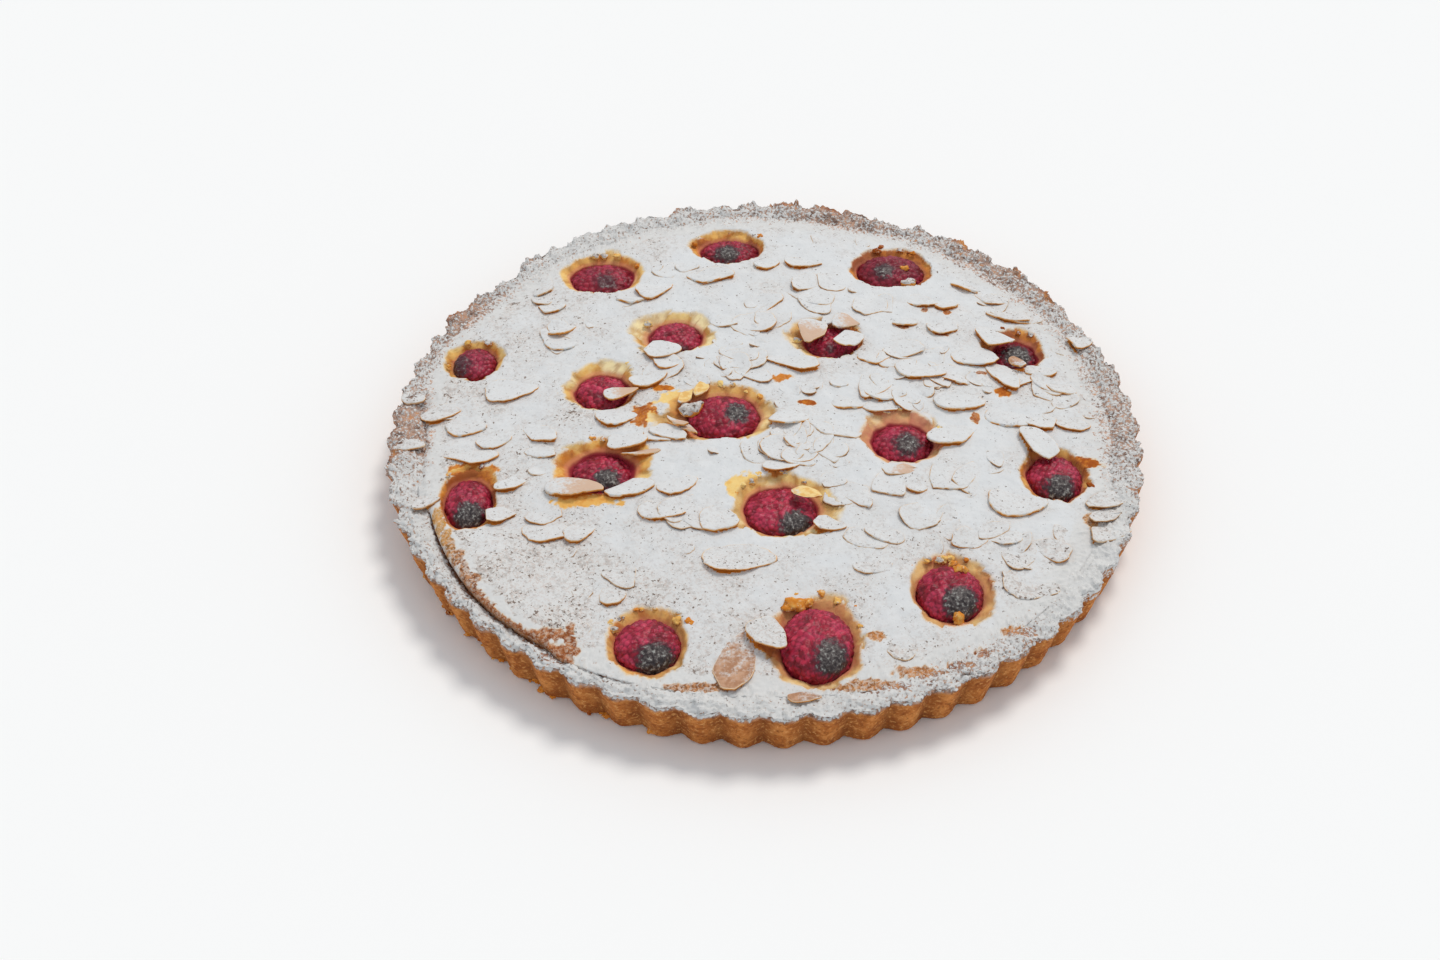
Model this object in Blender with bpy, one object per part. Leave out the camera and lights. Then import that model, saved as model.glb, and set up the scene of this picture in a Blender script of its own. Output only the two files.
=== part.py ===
"""Almond tart: a fluted shell, a domed filling with raspberries sunk in it, and flaked almonds on top.

The tart is 26 cm across. It rests on z = 0, with the middle of its base at the origin, in metres, +Z up.
Bearings are degrees, anticlockwise from +X as seen from above. The side shown in front faces -Y.
"""

import math
import random

import bmesh
import bpy
from mathutils import Matrix, Vector, noise

# Shell
RIM_RADIUS = 0.1312
FOOT_RADIUS = 0.1266
RIM_HEIGHT = 0.0185
FLUTES = 60
FLUTE_DEPTH = 0.0028
FIRST_FLUTE_CREST = 1.8
FLUTE_ROUNDNESS = 0.55
FLUTE_STEPS = (0.0, 0.20, 0.50, 0.80)
FLUTE_FADE = 0.3
FOOT_BEVEL = 0.0007
FOOT_BEVEL_HEIGHT = 0.0010
FLOOR_THICKNESS = 0.0040
FLOOR_RADIUS = 0.1140
OPENING_RADIUS = 0.1200
CREST_RISE = 0.0016
CREST_PLACE = 0.55
EDGE_RISE = 0.0009
EDGE_INSET = 0.0005
EDGE_DROP = 0.0012

# Rough crumb of the rim, and the shares of it that show at the wall, the edge and the lip
CRAG_HEIGHT = 0.0018
CRAG_SPACING = 0.0042
CRAG_FINE = 0.65
CRAG_COARSE = 0.6
CRAG_COARSE_SPACING = 2.7 * CRAG_SPACING
WALL_CRAGS = 0.4
EDGE_CRAGS_OUTWARDS = 0.5
LIP_CRAGS = 0.5

# Where the opening of the shell is wider or narrower: bearing, spread in degrees, added radius
OPENING_SWELLS = (
    (224.0, 22.0, 0.0044),
    (270.0, 15.0, -0.0018),
    (0.0, 35.0, -0.0030),
    (180.0, 18.0, -0.0028),
    (160.5, 12.0, 0.0052),
)

# Where the rim was pressed out or broken back: bearing, spread in degrees, added radius
RIM_SWELLS = (
    (193.0, 18.0, 0.0013),
    (120.0, 9.0, 0.0007),
    (139.0, 4.0, -0.0030),
    (24.0, 6.0, -0.0013),
    (70.0, 6.0, -0.0013),
)

# Large crumbs baked onto the outer edge of the rim: bearing, spread in degrees, height
RIM_CRUMBS = (
    (35.0, 1.7, 0.0016),
    (42.5, 1.3, 0.0010),
    (54.0, 1.6, 0.0020),
    (78.0, 2.4, 0.0012),
    (86.0, 2.6, 0.0013),
    (105.0, 1.6, 0.0010),
    (133.0, 1.5, 0.0009),
    (151.0, 1.8, 0.0015),
    (185.5, 1.4, 0.0011),
    (216.5, 1.5, 0.0010),
    (226.0, 1.5, 0.0009),
    (310.0, 1.3, 0.0008),
    (346.5, 1.5, 0.0011),
)
WALL_CRUMBS = 0.25
EDGE_CRUMBS_OUTWARDS = 0.6
EDGE_CRUMBS_UPWARDS = 0.7
CREST_CRUMBS = 0.8

# Filling
GAP = 0.0004
DOME_TOP = 0.0262
DOME_FALL = 0.0053
DOME_FALL_RADIUS = 0.104
SWELL_HEIGHT = 0.0005
SWELL_SPACING = 0.024
FILLING_COLUMNS = 84
FILLING_STEPS = (0.955, 0.88, 0.76, 0.61, 0.44, 0.24)
SHOULDER = 0.0011
SHOULDER_DROP = 0.00016
SLOPE_STEP = 0.002

# The front-left edge has come away from the shell and stands proud of it
LIFTED_BEARING = 221.0
LIFTED_SPREAD = 24.0
LIFTED_RISE = 0.0036
LIFTED_REACH = 0.030
CRACK_WIDTH = 0.0010

# Raspberries: middle x and y, half sizes along x, y and z, depth of the middle under the surface
BERRIES = (
    (-0.0600, 0.0860, 0.0135, 0.0108, 0.0075, 0.0064),
    (-0.0122, 0.1015, 0.0128, 0.0094, 0.0068, 0.0068),
    (0.0478, 0.0885, 0.0138, 0.0112, 0.0075, 0.0058),
    (-0.1042, 0.0368, 0.0087, 0.0095, 0.0070, 0.0038),
    (-0.0323, 0.0469, 0.0108, 0.0105, 0.0075, 0.0060),
    (0.0240, 0.0440, 0.0105, 0.0100, 0.0075, 0.0058),
    (0.0905, 0.0410, 0.0092, 0.0095, 0.0072, 0.0055),
    (-0.0575, 0.0182, 0.0110, 0.0105, 0.0075, 0.0062),
    (-0.0145, 0.0025, 0.0143, 0.0122, 0.0080, 0.0052),
    (0.0464, -0.0085, 0.0117, 0.0108, 0.0076, 0.0058),
    (-0.0561, -0.0230, 0.0124, 0.0108, 0.0076, 0.0058),
    (0.0982, -0.0230, 0.0106, 0.0115, 0.0080, 0.0046),
    (-0.1010, -0.0360, 0.0088, 0.0128, 0.0080, 0.0045),
    (0.0038, -0.0427, 0.0135, 0.0120, 0.0082, 0.0048),
    (0.0586, -0.0776, 0.0120, 0.0126, 0.0089, 0.0041),
    (-0.0390, -0.0997, 0.0119, 0.0113, 0.0086, 0.0034),
    (0.0147, -0.0998, 0.0130, 0.0152, 0.0094, 0.0032),
)
BERRY_ROWS = 6
BERRY_COLUMNS = 12
BERRY_LUMP = 0.09
BERRY_LEAN = (0.0012, -0.0012)

# Pits round the berries
PIT_SIDES = 14
PIT_CLEARANCE = 0.0005
PIT_LIP = 0.0040
PIT_WALL = 0.0009
PIT_UNEVENNESS = 0.35
PIT_UNEVEN_REACH = 0.020
PIT_UNEVEN_SPACING = 0.012

# Lower part of a pit: height from the berry's middle in half heights, share of the berry's half width
PIT_BOWL = (
    (-0.65, 0.84),
    (-0.20, 1.0),
    (0.15, 1.0),
)
PIT_BASE = 0.50

# Mouth of a pit: height above the surface, share of the lip added to the berry's half width
PIT_MOUTH = (
    (0.0003, 1.0),
    (0.0045, 1.5),
)

# Flaked almonds
FLAKES = 58
FLAKE_SEED = 11
FLAKE_SIDES = 8
FLAKE_LENGTH = (0.0140, 0.0200)
FLAKE_SLENDERNESS = (0.56, 0.72)
FLAKE_TAPER = 0.28
FLAKE_THICKNESS = 0.0012
FLAKE_LIFT = 0.0003
FLAKE_TILT = (4.0, 11.0)
FLAKE_SPACING = 0.0105
FLAKE_REACH = 0.112
FLAKE_RIM_GAP = 0.0015
FLAKE_BERRY_GAP = 0.0012
FLAKE_TRIES = 6000

# Where flakes lie thickest: x, y, reach
FLAKE_DRIFTS = (
    (0.075, 0.020, 0.045),
    (-0.080, -0.020, 0.042),
    (0.005, 0.015, 0.040),
    (-0.035, 0.070, 0.030),
    (0.080, -0.045, 0.025),
    (0.000, -0.062, 0.022),
)
FLAKE_THIN_SHARE = 0.18

SMOOTH_ANGLE = math.radians(50)
MERGE_DISTANCE = 0.000002


def clear_scene():
    for thing in list(bpy.data.objects):
        bpy.data.objects.remove(thing, do_unlink=True)


def make_material(name, colour, roughness):
    material = bpy.data.materials.new(name)
    material.use_nodes = True
    shader = material.node_tree.nodes["Principled BSDF"]
    shader.inputs["Base Color"].default_value = (*colour, 1.0)
    shader.inputs["Roughness"].default_value = roughness
    shader.inputs["Metallic"].default_value = 0.0
    material.diffuse_color = (*colour, 1.0)
    return material


def make_object(name, bm, material):
    """A linked, smooth-shaded object from a bmesh, which is freed."""
    bmesh.ops.recalc_face_normals(bm, faces=bm.faces)
    mesh = bpy.data.meshes.new(name)
    bm.to_mesh(mesh)
    bm.free()
    mesh.shade_smooth()
    mesh.set_sharp_from_angle(angle=SMOOTH_ANGLE)
    mesh.materials.append(material)
    made = bpy.data.objects.new(name, mesh)
    bpy.context.scene.collection.objects.link(made)
    return made


def add_ring(bm, points):
    return [bm.verts.new(point) for point in points]


def join_rings(bm, lower, upper):
    """Quads between two closed rings that have the same number of points."""
    count = len(lower)
    for i in range(count):
        following = (i + 1) % count
        bm.faces.new((lower[i], lower[following], upper[following], upper[i]))


def at_bearing(bearing, radius, height):
    angle = math.radians(bearing)
    return Vector((radius * math.cos(angle), radius * math.sin(angle), height))


def swell(bearing, centre, spread):
    """1 at the centre bearing, falling smoothly to 0 a few spreads away."""
    away = (bearing - centre + 180) % 360 - 180
    return math.exp(-(away / spread) ** 2)


def relief(point, spacing, layer):
    """Smooth noise between -1 and 1 with hills about one spacing apart."""
    return noise.noise(Vector(point) / spacing + Vector((0, 0, layer)))


# Shell

def flute(bearing):
    """0 in the groove between two flutes and 1 on the crest of one."""
    wave = abs(math.cos(math.radians((bearing - FIRST_FLUTE_CREST) * FLUTES / 2)))
    return FLUTE_ROUNDNESS * wave + (1 - FLUTE_ROUNDNESS) * wave * wave


def swells(bearing, rows):
    return sum(added * swell(bearing, centre, spread) for centre, spread, added in rows)


def wall_radius(bearing, height):
    at_top = RIM_RADIUS + swells(bearing, RIM_SWELLS)
    smooth = FOOT_RADIUS + (at_top - FOOT_RADIUS) * height / RIM_HEIGHT
    return smooth - FLUTE_DEPTH * (1 - flute(bearing))


def opening_radius(bearing, height):
    """Radius of the shell's inner wall, which leans out from the floor to the opening."""
    at_top = OPENING_RADIUS + swells(bearing, OPENING_SWELLS)
    share = (height - FLOOR_THICKNESS) / (RIM_HEIGHT - FLOOR_THICKNESS)
    return FLOOR_RADIUS + (at_top - FLOOR_RADIUS) * share


def crag(bearing, radius):
    """Height of the rough crumb on the rim."""
    here = at_bearing(bearing, radius, 0)
    fine = relief(here, CRAG_SPACING, 3)
    coarse = relief(here, CRAG_COARSE_SPACING, 8)
    return CRAG_HEIGHT * (CRAG_FINE * fine + CRAG_COARSE * coarse)


def make_shell(material):
    pitch = 360 / FLUTES
    first_groove = FIRST_FLUTE_CREST - pitch / 2
    bearings = [first_groove + (n + step) * pitch for n in range(FLUTES) for step in FLUTE_STEPS]

    def foot(b):
        return at_bearing(b, wall_radius(b, 0) - FOOT_BEVEL, 0)

    def low_wall(b):
        return at_bearing(b, wall_radius(b, FOOT_BEVEL_HEIGHT), FOOT_BEVEL_HEIGHT)

    def high_wall(b):
        height = RIM_HEIGHT - EDGE_DROP + WALL_CRAGS * crag(b, RIM_RADIUS)
        return at_bearing(b, wall_radius(b, height) + WALL_CRUMBS * swells(b, RIM_CRUMBS), height)

    def edge(b):
        rough = crag(b, RIM_RADIUS)
        crumbs = swells(b, RIM_CRUMBS)
        radius = wall_radius(b, RIM_HEIGHT) + FLUTE_FADE * FLUTE_DEPTH * (1 - flute(b)) - EDGE_INSET
        radius += EDGE_CRAGS_OUTWARDS * rough + EDGE_CRUMBS_OUTWARDS * crumbs
        return at_bearing(b, radius, RIM_HEIGHT + EDGE_RISE + rough + EDGE_CRUMBS_UPWARDS * crumbs)

    def crest(b):
        inner = opening_radius(b, RIM_HEIGHT)
        radius = inner + CREST_PLACE * (wall_radius(b, RIM_HEIGHT) - inner)
        height = RIM_HEIGHT + CREST_RISE + crag(b, radius) + CREST_CRUMBS * swells(b, RIM_CRUMBS)
        return at_bearing(b, radius, height)

    def lip(b):
        height = RIM_HEIGHT + LIP_CRAGS * crag(b, OPENING_RADIUS)
        return at_bearing(b, opening_radius(b, height), height)

    def floor(b):
        return at_bearing(b, FLOOR_RADIUS, FLOOR_THICKNESS)

    bm = bmesh.new()
    rings = [add_ring(bm, [place(b) for b in bearings])
             for place in (foot, low_wall, high_wall, edge, crest, lip, floor)]
    for lower, upper in zip(rings, rings[1:]):
        join_rings(bm, lower, upper)
    bm.faces.new(rings[0])
    bm.faces.new(rings[-1])
    return make_object("crust", bm, material)


# Filling

def lifted(bearing):
    return swell(bearing, LIFTED_BEARING, LIFTED_SPREAD)


def filling_edge(bearing, height):
    return opening_radius(bearing, height) - GAP - CRACK_WIDTH * lifted(bearing)


def surface(x, y):
    """Height of the filling's top."""
    radius = math.hypot(x, y)
    bearing = math.degrees(math.atan2(y, x))
    near_edge = max(0.0, 1 - max(0.0, OPENING_RADIUS - radius) / LIFTED_REACH)
    rise = LIFTED_RISE * lifted(bearing) * near_edge * near_edge * (3 - 2 * near_edge)
    dome = DOME_TOP - DOME_FALL * (radius / DOME_FALL_RADIUS) ** 2
    return dome + rise + SWELL_HEIGHT * relief((x, y, 0), SWELL_SPACING, 5)


def surface_normal(x, y):
    step = SLOPE_STEP
    along_x = Vector((2 * step, 0, surface(x + step, y) - surface(x - step, y)))
    along_y = Vector((0, 2 * step, surface(x, y + step) - surface(x, y - step)))
    return along_x.cross(along_y).normalized()


def make_filling(material):
    bearings = [360 * n / FILLING_COLUMNS for n in range(FILLING_COLUMNS)]
    bottom = FLOOR_THICKNESS + GAP

    def on_surface(bearing, radius, lower=0.0):
        point = at_bearing(bearing, radius, 0)
        point.z = surface(point.x, point.y) - lower
        return point

    def foot(b):
        return at_bearing(b, filling_edge(b, bottom), bottom)

    def brim(b):
        height = on_surface(b, filling_edge(b, RIM_HEIGHT), SHOULDER).z
        return at_bearing(b, filling_edge(b, min(height, RIM_HEIGHT)), height)

    def shoulder(b):
        return on_surface(b, filling_edge(b, RIM_HEIGHT) - SHOULDER, SHOULDER_DROP)

    bm = bmesh.new()
    rings = [add_ring(bm, [place(b) for b in bearings]) for place in (foot, brim, shoulder)]
    for share in FILLING_STEPS:
        rings.append(add_ring(bm, [on_surface(b, share * filling_edge(b, RIM_HEIGHT)) for b in bearings]))
    for lower, upper in zip(rings, rings[1:]):
        join_rings(bm, lower, upper)
    bm.faces.new(rings[0])
    middle = bm.verts.new((0, 0, surface(0, 0)))
    for first, second in zip(rings[-1], rings[-1][1:] + rings[-1][:1]):
        bm.faces.new((first, second, middle))
    return make_object("filling", bm, material)


def apply_boolean(target, operation, collection):
    """Joins or cuts with every object of a collection, then removes them and the collection."""
    modifier = target.modifiers.new(operation.title(), "BOOLEAN")
    modifier.operation = operation
    modifier.solver = "EXACT"
    modifier.operand_type = "COLLECTION"
    modifier.collection = collection
    with bpy.context.temp_override(object=target, active_object=target, selected_objects=[target]):
        bpy.ops.object.modifier_apply(modifier=modifier.name)
    for used in list(collection.objects):
        bpy.data.objects.remove(used, do_unlink=True)
    bpy.data.collections.remove(collection)


def keep_one_body(target):
    """Merges points that the cuts left on top of each other and drops any loose scrap."""
    bm = bmesh.new()
    bm.from_mesh(target.data)
    bmesh.ops.remove_doubles(bm, verts=bm.verts, dist=MERGE_DISTANCE)
    bmesh.ops.dissolve_degenerate(bm, edges=bm.edges, dist=MERGE_DISTANCE)
    left = set(bm.verts)
    bodies = []
    while left:
        found = {left.pop()}
        edge_of_search = list(found)
        while edge_of_search:
            here = edge_of_search.pop()
            for link in here.link_edges:
                other = link.other_vert(here)
                if other in left:
                    left.remove(other)
                    found.add(other)
                    edge_of_search.append(other)
        bodies.append(found)
    largest = max(bodies, key=len)
    scraps = [vert for body in bodies if body is not largest for vert in body]
    bmesh.ops.delete(bm, geom=scraps, context="VERTS")
    bm.to_mesh(target.data)
    bm.free()


def gather(things, name):
    """Moves objects out of the scene's own collection into a new one."""
    collection = bpy.data.collections.new(name)
    bpy.context.scene.collection.children.link(collection)
    for thing in things:
        thing.display_type = "WIRE"
        thing.hide_render = True
        bpy.context.scene.collection.objects.unlink(thing)
        collection.objects.link(thing)
    return collection


# Raspberries and their pits

def middle_height(berry):
    x, y, *_, depth = berry
    return surface(x, y) - depth


def make_berry(number, berry, material):
    """A lumpy dome, its rows of points staggered like the drupelets of a raspberry."""
    x, y, half_x, half_y, half_height, _ = berry
    draw = random.Random(100 + number)
    middle = Vector((x, y, middle_height(berry)))

    def point(row, column):
        lift = math.pi * (row / (BERRY_ROWS + 1) - 0.5)
        turn = 2 * math.pi * (column + 0.5 * (row % 2)) / BERRY_COLUMNS
        size = 1 - BERRY_LUMP * draw.random()
        height = half_height * math.sin(lift) * size
        lean = max(0.0, math.sin(lift)) ** 2
        across = math.cos(lift) ** 0.85 * size
        return middle + Vector((
            half_x * across * math.cos(turn) + BERRY_LEAN[0] * lean,
            half_y * across * math.sin(turn) + BERRY_LEAN[1] * lean,
            height))

    bm = bmesh.new()
    rings = [add_ring(bm, [point(row, column) for column in range(BERRY_COLUMNS)])
             for row in range(1, BERRY_ROWS + 1)]
    low = bm.verts.new(middle + Vector((0, 0, -0.97 * half_height)))
    high = bm.verts.new(middle + Vector((*BERRY_LEAN, 0.98 * half_height)))
    for column in range(BERRY_COLUMNS):
        following = (column + 1) % BERRY_COLUMNS
        bm.faces.new((low, rings[0][following], rings[0][column]))
        bm.faces.new((high, rings[-1][column], rings[-1][following]))
        for row, (lower, upper) in enumerate(zip(rings, rings[1:]), start=1):
            if row % 2:
                bm.faces.new((lower[column], upper[following], upper[column]))
                bm.faces.new((lower[column], lower[following], upper[following]))
            else:
                bm.faces.new((lower[column], lower[following], upper[column]))
                bm.faces.new((lower[following], upper[following], upper[column]))
    return make_object(f"berry_{number:02d}", bm, material)


def make_pit_cutter(number, berry, material):
    """A bowl that follows the berry from below and opens like a funnel above its widest part."""
    x, y, half_x, half_y, half_height, _ = berry
    middle = middle_height(berry)
    top = surface(x, y)
    corner = 1 / math.cos(math.pi / PIT_SIDES)

    def uneven(turn):
        beside = (x + PIT_UNEVEN_REACH * math.cos(turn), y + PIT_UNEVEN_REACH * math.sin(turn), 0)
        return 1 + PIT_UNEVENNESS * relief(beside, PIT_UNEVEN_SPACING, 9)

    def point(turn, height, share, added):
        place = Vector((
            x + (share * half_x * corner + added) * math.cos(turn),
            y + (share * half_y * corner + added) * math.sin(turn)))
        bearing = math.degrees(math.atan2(place.y, place.x))
        furthest = filling_edge(bearing, min(height, RIM_HEIGHT)) - PIT_WALL
        if place.length > furthest:
            place *= furthest / place.length
        return (place.x, place.y, height)

    turns = [2 * math.pi * side / PIT_SIDES for side in range(PIT_SIDES)]
    lowest = middle - half_height - PIT_CLEARANCE
    bm = bmesh.new()
    rings = [add_ring(bm, [point(turn, lowest, PIT_BASE, 0.0) for turn in turns])]
    for lift, share in PIT_BOWL:
        height = middle + lift * half_height
        rings.append(add_ring(bm, [point(turn, height, share, PIT_CLEARANCE) for turn in turns]))
    for lift, share in PIT_MOUTH:
        rings.append(add_ring(bm, [point(turn, top + lift, 1.0, share * PIT_LIP * uneven(turn))
                                   for turn in turns]))
    for lower, upper in zip(rings, rings[1:]):
        join_rings(bm, lower, upper)
    bm.faces.new(rings[0])
    bm.faces.new(rings[-1])
    return make_object(f"pit_cutter_{number:02d}", bm, material)


# Flaked almonds

def flake_share(x, y):
    """Share of the flakes tried here that stay: high in a drift, low between them."""
    densest = max(math.exp(-((x - cx) ** 2 + (y - cy) ** 2) / reach ** 2) for cx, cy, reach in FLAKE_DRIFTS)
    return FLAKE_THIN_SHARE + (1 - FLAKE_THIN_SHARE) * densest


def flake_outline(length, width):
    """Points round an almond slice: an ellipse that is blunt at one end and narrow at the other."""
    for side in range(FLAKE_SIDES):
        turn = 2 * math.pi * side / FLAKE_SIDES
        yield Vector((0.5 * length * math.cos(turn),
                      0.5 * width * math.sin(turn) * (1 - FLAKE_TAPER * math.cos(turn)), 0))


def clear_of_pits_and_rim(points):
    for x, y, half_x, half_y, *_ in BERRIES:
        reach_x = half_x + PIT_LIP + FLAKE_BERRY_GAP
        reach_y = half_y + PIT_LIP + FLAKE_BERRY_GAP
        if any(((p.x - x) / reach_x) ** 2 + ((p.y - y) / reach_y) ** 2 < 1 for p in points):
            return False
    return all(
        math.hypot(p.x, p.y) < filling_edge(math.degrees(math.atan2(p.y, p.x)), RIM_HEIGHT) - FLAKE_RIM_GAP
        for p in points)


def make_flake(number, place, outline, material):
    bm = bmesh.new()
    half = Vector((0, 0, 0.5 * FLAKE_THICKNESS))
    under = add_ring(bm, [place @ (point - half) for point in outline])
    over = add_ring(bm, [place @ (point + half) for point in outline])
    join_rings(bm, under, over)
    bm.faces.new(under)
    bm.faces.new(over)
    return make_object(f"flake_{number:02d}", bm, material)


def make_flakes(material):
    """Seeded scatter, largest flakes first, clear of the pits and of the rim."""
    draw = random.Random(FLAKE_SEED)
    lengths = sorted((draw.uniform(*FLAKE_LENGTH) for _ in range(FLAKES)), reverse=True)
    flakes = []
    middles = []
    for _ in range(FLAKE_TRIES):
        if len(flakes) == FLAKES:
            break
        radius = FLAKE_REACH * math.sqrt(draw.random())
        middle = at_bearing(360 * draw.random(), radius, 0)
        if draw.random() > flake_share(middle.x, middle.y):
            continue
        length = lengths[len(flakes)]
        outline = list(flake_outline(length, length * draw.uniform(*FLAKE_SLENDERNESS)))
        turn = Matrix.Rotation(draw.uniform(0, 2 * math.pi), 4, "Z")
        tilt = Matrix.Rotation(math.radians(draw.uniform(*FLAKE_TILT)), 4,
                               at_bearing(360 * draw.random(), 1, 0))
        upright = Vector((0, 0, 1)).rotation_difference(surface_normal(middle.x, middle.y))
        middle.z = surface(middle.x, middle.y) + FLAKE_LIFT
        place = Matrix.Translation(middle) @ upright.to_matrix().to_4x4() @ tilt @ turn
        if any((middle - other).length < FLAKE_SPACING for other in middles):
            continue
        if not clear_of_pits_and_rim([place @ point for point in outline]):
            continue
        flakes.append(make_flake(len(flakes) + 1, place, outline, material))
        middles.append(middle)
    return flakes


def main():
    clear_scene()
    pastry = make_material("pastry", (0.42, 0.19, 0.055), 0.85)
    sugared = make_material("sugared_filling", (0.74, 0.76, 0.78), 0.90)
    raspberry = make_material("raspberry", (0.30, 0.012, 0.045), 0.40)

    make_shell(pastry)
    filling = make_filling(sugared)
    cutters = [make_pit_cutter(n, berry, sugared) for n, berry in enumerate(BERRIES, start=1)]
    apply_boolean(filling, "DIFFERENCE", gather(cutters, "pits"))
    apply_boolean(filling, "UNION", gather(make_flakes(sugared), "flakes"))
    keep_one_body(filling)
    filling.data.shade_smooth()
    filling.data.set_sharp_from_angle(angle=SMOOTH_ANGLE)
    for number, berry in enumerate(BERRIES, start=1):
        make_berry(number, berry, raspberry)


main()
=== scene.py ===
"""Looks of the almond tart: sandy fluted shell, sugared filling, baked raspberries and flaked almonds.

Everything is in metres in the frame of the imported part. Bearings are degrees, anticlockwise from +X as seen
from above. Pixels are those of the photograph's frame, 1440 x 960.
"""

import math
import random

import bmesh
import bpy
import numpy as np
from mathutils import Matrix, Vector, noise

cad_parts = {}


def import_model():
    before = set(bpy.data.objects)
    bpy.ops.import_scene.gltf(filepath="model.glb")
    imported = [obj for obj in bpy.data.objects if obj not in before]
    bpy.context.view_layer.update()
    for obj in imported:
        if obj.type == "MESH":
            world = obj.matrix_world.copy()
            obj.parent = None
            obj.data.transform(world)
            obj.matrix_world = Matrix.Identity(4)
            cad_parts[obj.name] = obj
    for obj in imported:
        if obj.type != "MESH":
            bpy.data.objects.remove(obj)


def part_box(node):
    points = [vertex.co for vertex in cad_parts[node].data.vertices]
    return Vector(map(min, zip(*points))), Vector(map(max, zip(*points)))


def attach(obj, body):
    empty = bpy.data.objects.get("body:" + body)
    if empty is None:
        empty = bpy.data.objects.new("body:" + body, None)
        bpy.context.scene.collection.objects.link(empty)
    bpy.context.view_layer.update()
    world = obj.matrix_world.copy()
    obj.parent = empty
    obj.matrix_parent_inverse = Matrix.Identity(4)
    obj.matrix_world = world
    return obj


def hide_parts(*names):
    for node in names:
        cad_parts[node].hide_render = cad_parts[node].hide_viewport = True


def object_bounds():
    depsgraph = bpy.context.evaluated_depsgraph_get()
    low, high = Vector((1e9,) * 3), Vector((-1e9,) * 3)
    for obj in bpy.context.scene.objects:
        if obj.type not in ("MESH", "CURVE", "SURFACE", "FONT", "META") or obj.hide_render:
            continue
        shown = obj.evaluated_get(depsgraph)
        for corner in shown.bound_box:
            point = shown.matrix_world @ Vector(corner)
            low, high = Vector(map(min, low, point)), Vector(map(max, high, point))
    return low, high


MM = 0.001
PHOTO_SIZE = (1440, 960)

# Camera, the rounds in which a line of sight settles on the tart, and the bearing that faces the camera
CAMERA_TARGET = Vector((-0.01607, -0.00438, 0.0))
CAMERA_DISTANCE = 0.8119
CAMERA_ELEVATION = math.radians(44.02)
SENSOR_WIDTH = 36.0
LENS = 57.5
SIGHT_STEPS = 8
TO_CAMERA = 270

# Light and floor
SKY_COLOUR = (0.905, 0.955, 1.0)
SKY_STRENGTH = 0.66
WINDOW_COLOUR = (1.0, 0.94, 0.87)
WINDOW_STRENGTH = 1.44
WINDOW_WIDTH = math.radians(19)
WINDOW_FROM = Vector((0.40, 0.62, 1.22))
FLOOR_SIZE = 4.0
FLOOR_COLOUR = (249, 249, 249)

# Noise: fall, step and number of the octaves of a rough surface, how wide the creases between lumps are, how
# a lump's place makes its chance, and how many layers are drawn from
ROUGHNESS_OCTAVES = (0.8, 2.0, 4)
LUMP_CREASE = 0.45
CHANCE_DIRECTION = (12.9898, 78.233, 37.719)
CHANCE_SCALE = 437.585
NOISE_LAYERS = 99

# Shell, as in the part
RIM_RADIUS = 0.1312
FOOT_RADIUS = 0.1266
RIM_HEIGHT = 0.0185
FLUTES = 60
FLUTE_DEPTH = 0.0028
FIRST_FLUTE_CREST = 1.8
FLUTE_ROUNDNESS = 0.55
FLUTE_FADE = 0.3
FOOT_BEVEL = 0.0007
FOOT_BEVEL_HEIGHT = 0.0010
FLOOR_THICKNESS = 0.0040
FLOOR_RADIUS = 0.1140
OPENING_RADIUS = 0.1200
CREST_RISE = 0.0016
CREST_PLACE = 0.55
EDGE_RISE = 0.0009
EDGE_INSET = 0.0005
EDGE_DROP = 0.0012
CRAG_HEIGHT = 0.0018
CRAG_SPACING = 0.0042
CRAG_FINE = 0.65
CRAG_COARSE = 0.6
CRAG_COARSE_SPACING = 2.7 * CRAG_SPACING

# Where the opening of the shell is wider or narrower: bearing, spread in degrees, added radius
OPENING_SWELLS = (
    (224.0, 22.0, 0.0044),
    (270.0, 15.0, -0.0018),
    (0.0, 35.0, -0.0030),
    (180.0, 18.0, -0.0028),
    (160.5, 12.0, 0.0052),
)

# Where the rim was pressed out or broken back: bearing, spread in degrees, added radius
RIM_SWELLS = (
    (193.0, 18.0, 0.0013),
    (120.0, 9.0, 0.0007),
    (139.0, 4.0, -0.0030),
    (24.0, 6.0, -0.0013),
    (70.0, 6.0, -0.0013),
)

# Large crumbs baked onto the outer edge of the rim: bearing, spread in degrees, height
RIM_CRUMBS = (
    (35.0, 1.7, 0.0016),
    (42.5, 1.3, 0.0010),
    (54.0, 1.6, 0.0020),
    (78.0, 2.4, 0.0012),
    (86.0, 2.6, 0.0013),
    (105.0, 1.6, 0.0010),
    (133.0, 1.5, 0.0009),
    (151.0, 1.8, 0.0015),
    (185.5, 1.4, 0.0011),
    (216.5, 1.5, 0.0010),
    (226.0, 1.5, 0.0009),
    (310.0, 1.3, 0.0008),
    (346.5, 1.5, 0.0011),
)

# Filling, as in the part. Places along the edge are a bearing and a spread in degrees
DOME_TOP = 0.0262
DOME_FALL = 0.0053
DOME_FALL_RADIUS = 0.104
SWELL_HEIGHT = 0.0005
SWELL_SPACING = 0.024
LIFTED_PLACE = (221.0, 24.0)
LIFTED_RISE = 0.0036
LIFTED_REACH = 0.030

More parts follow.
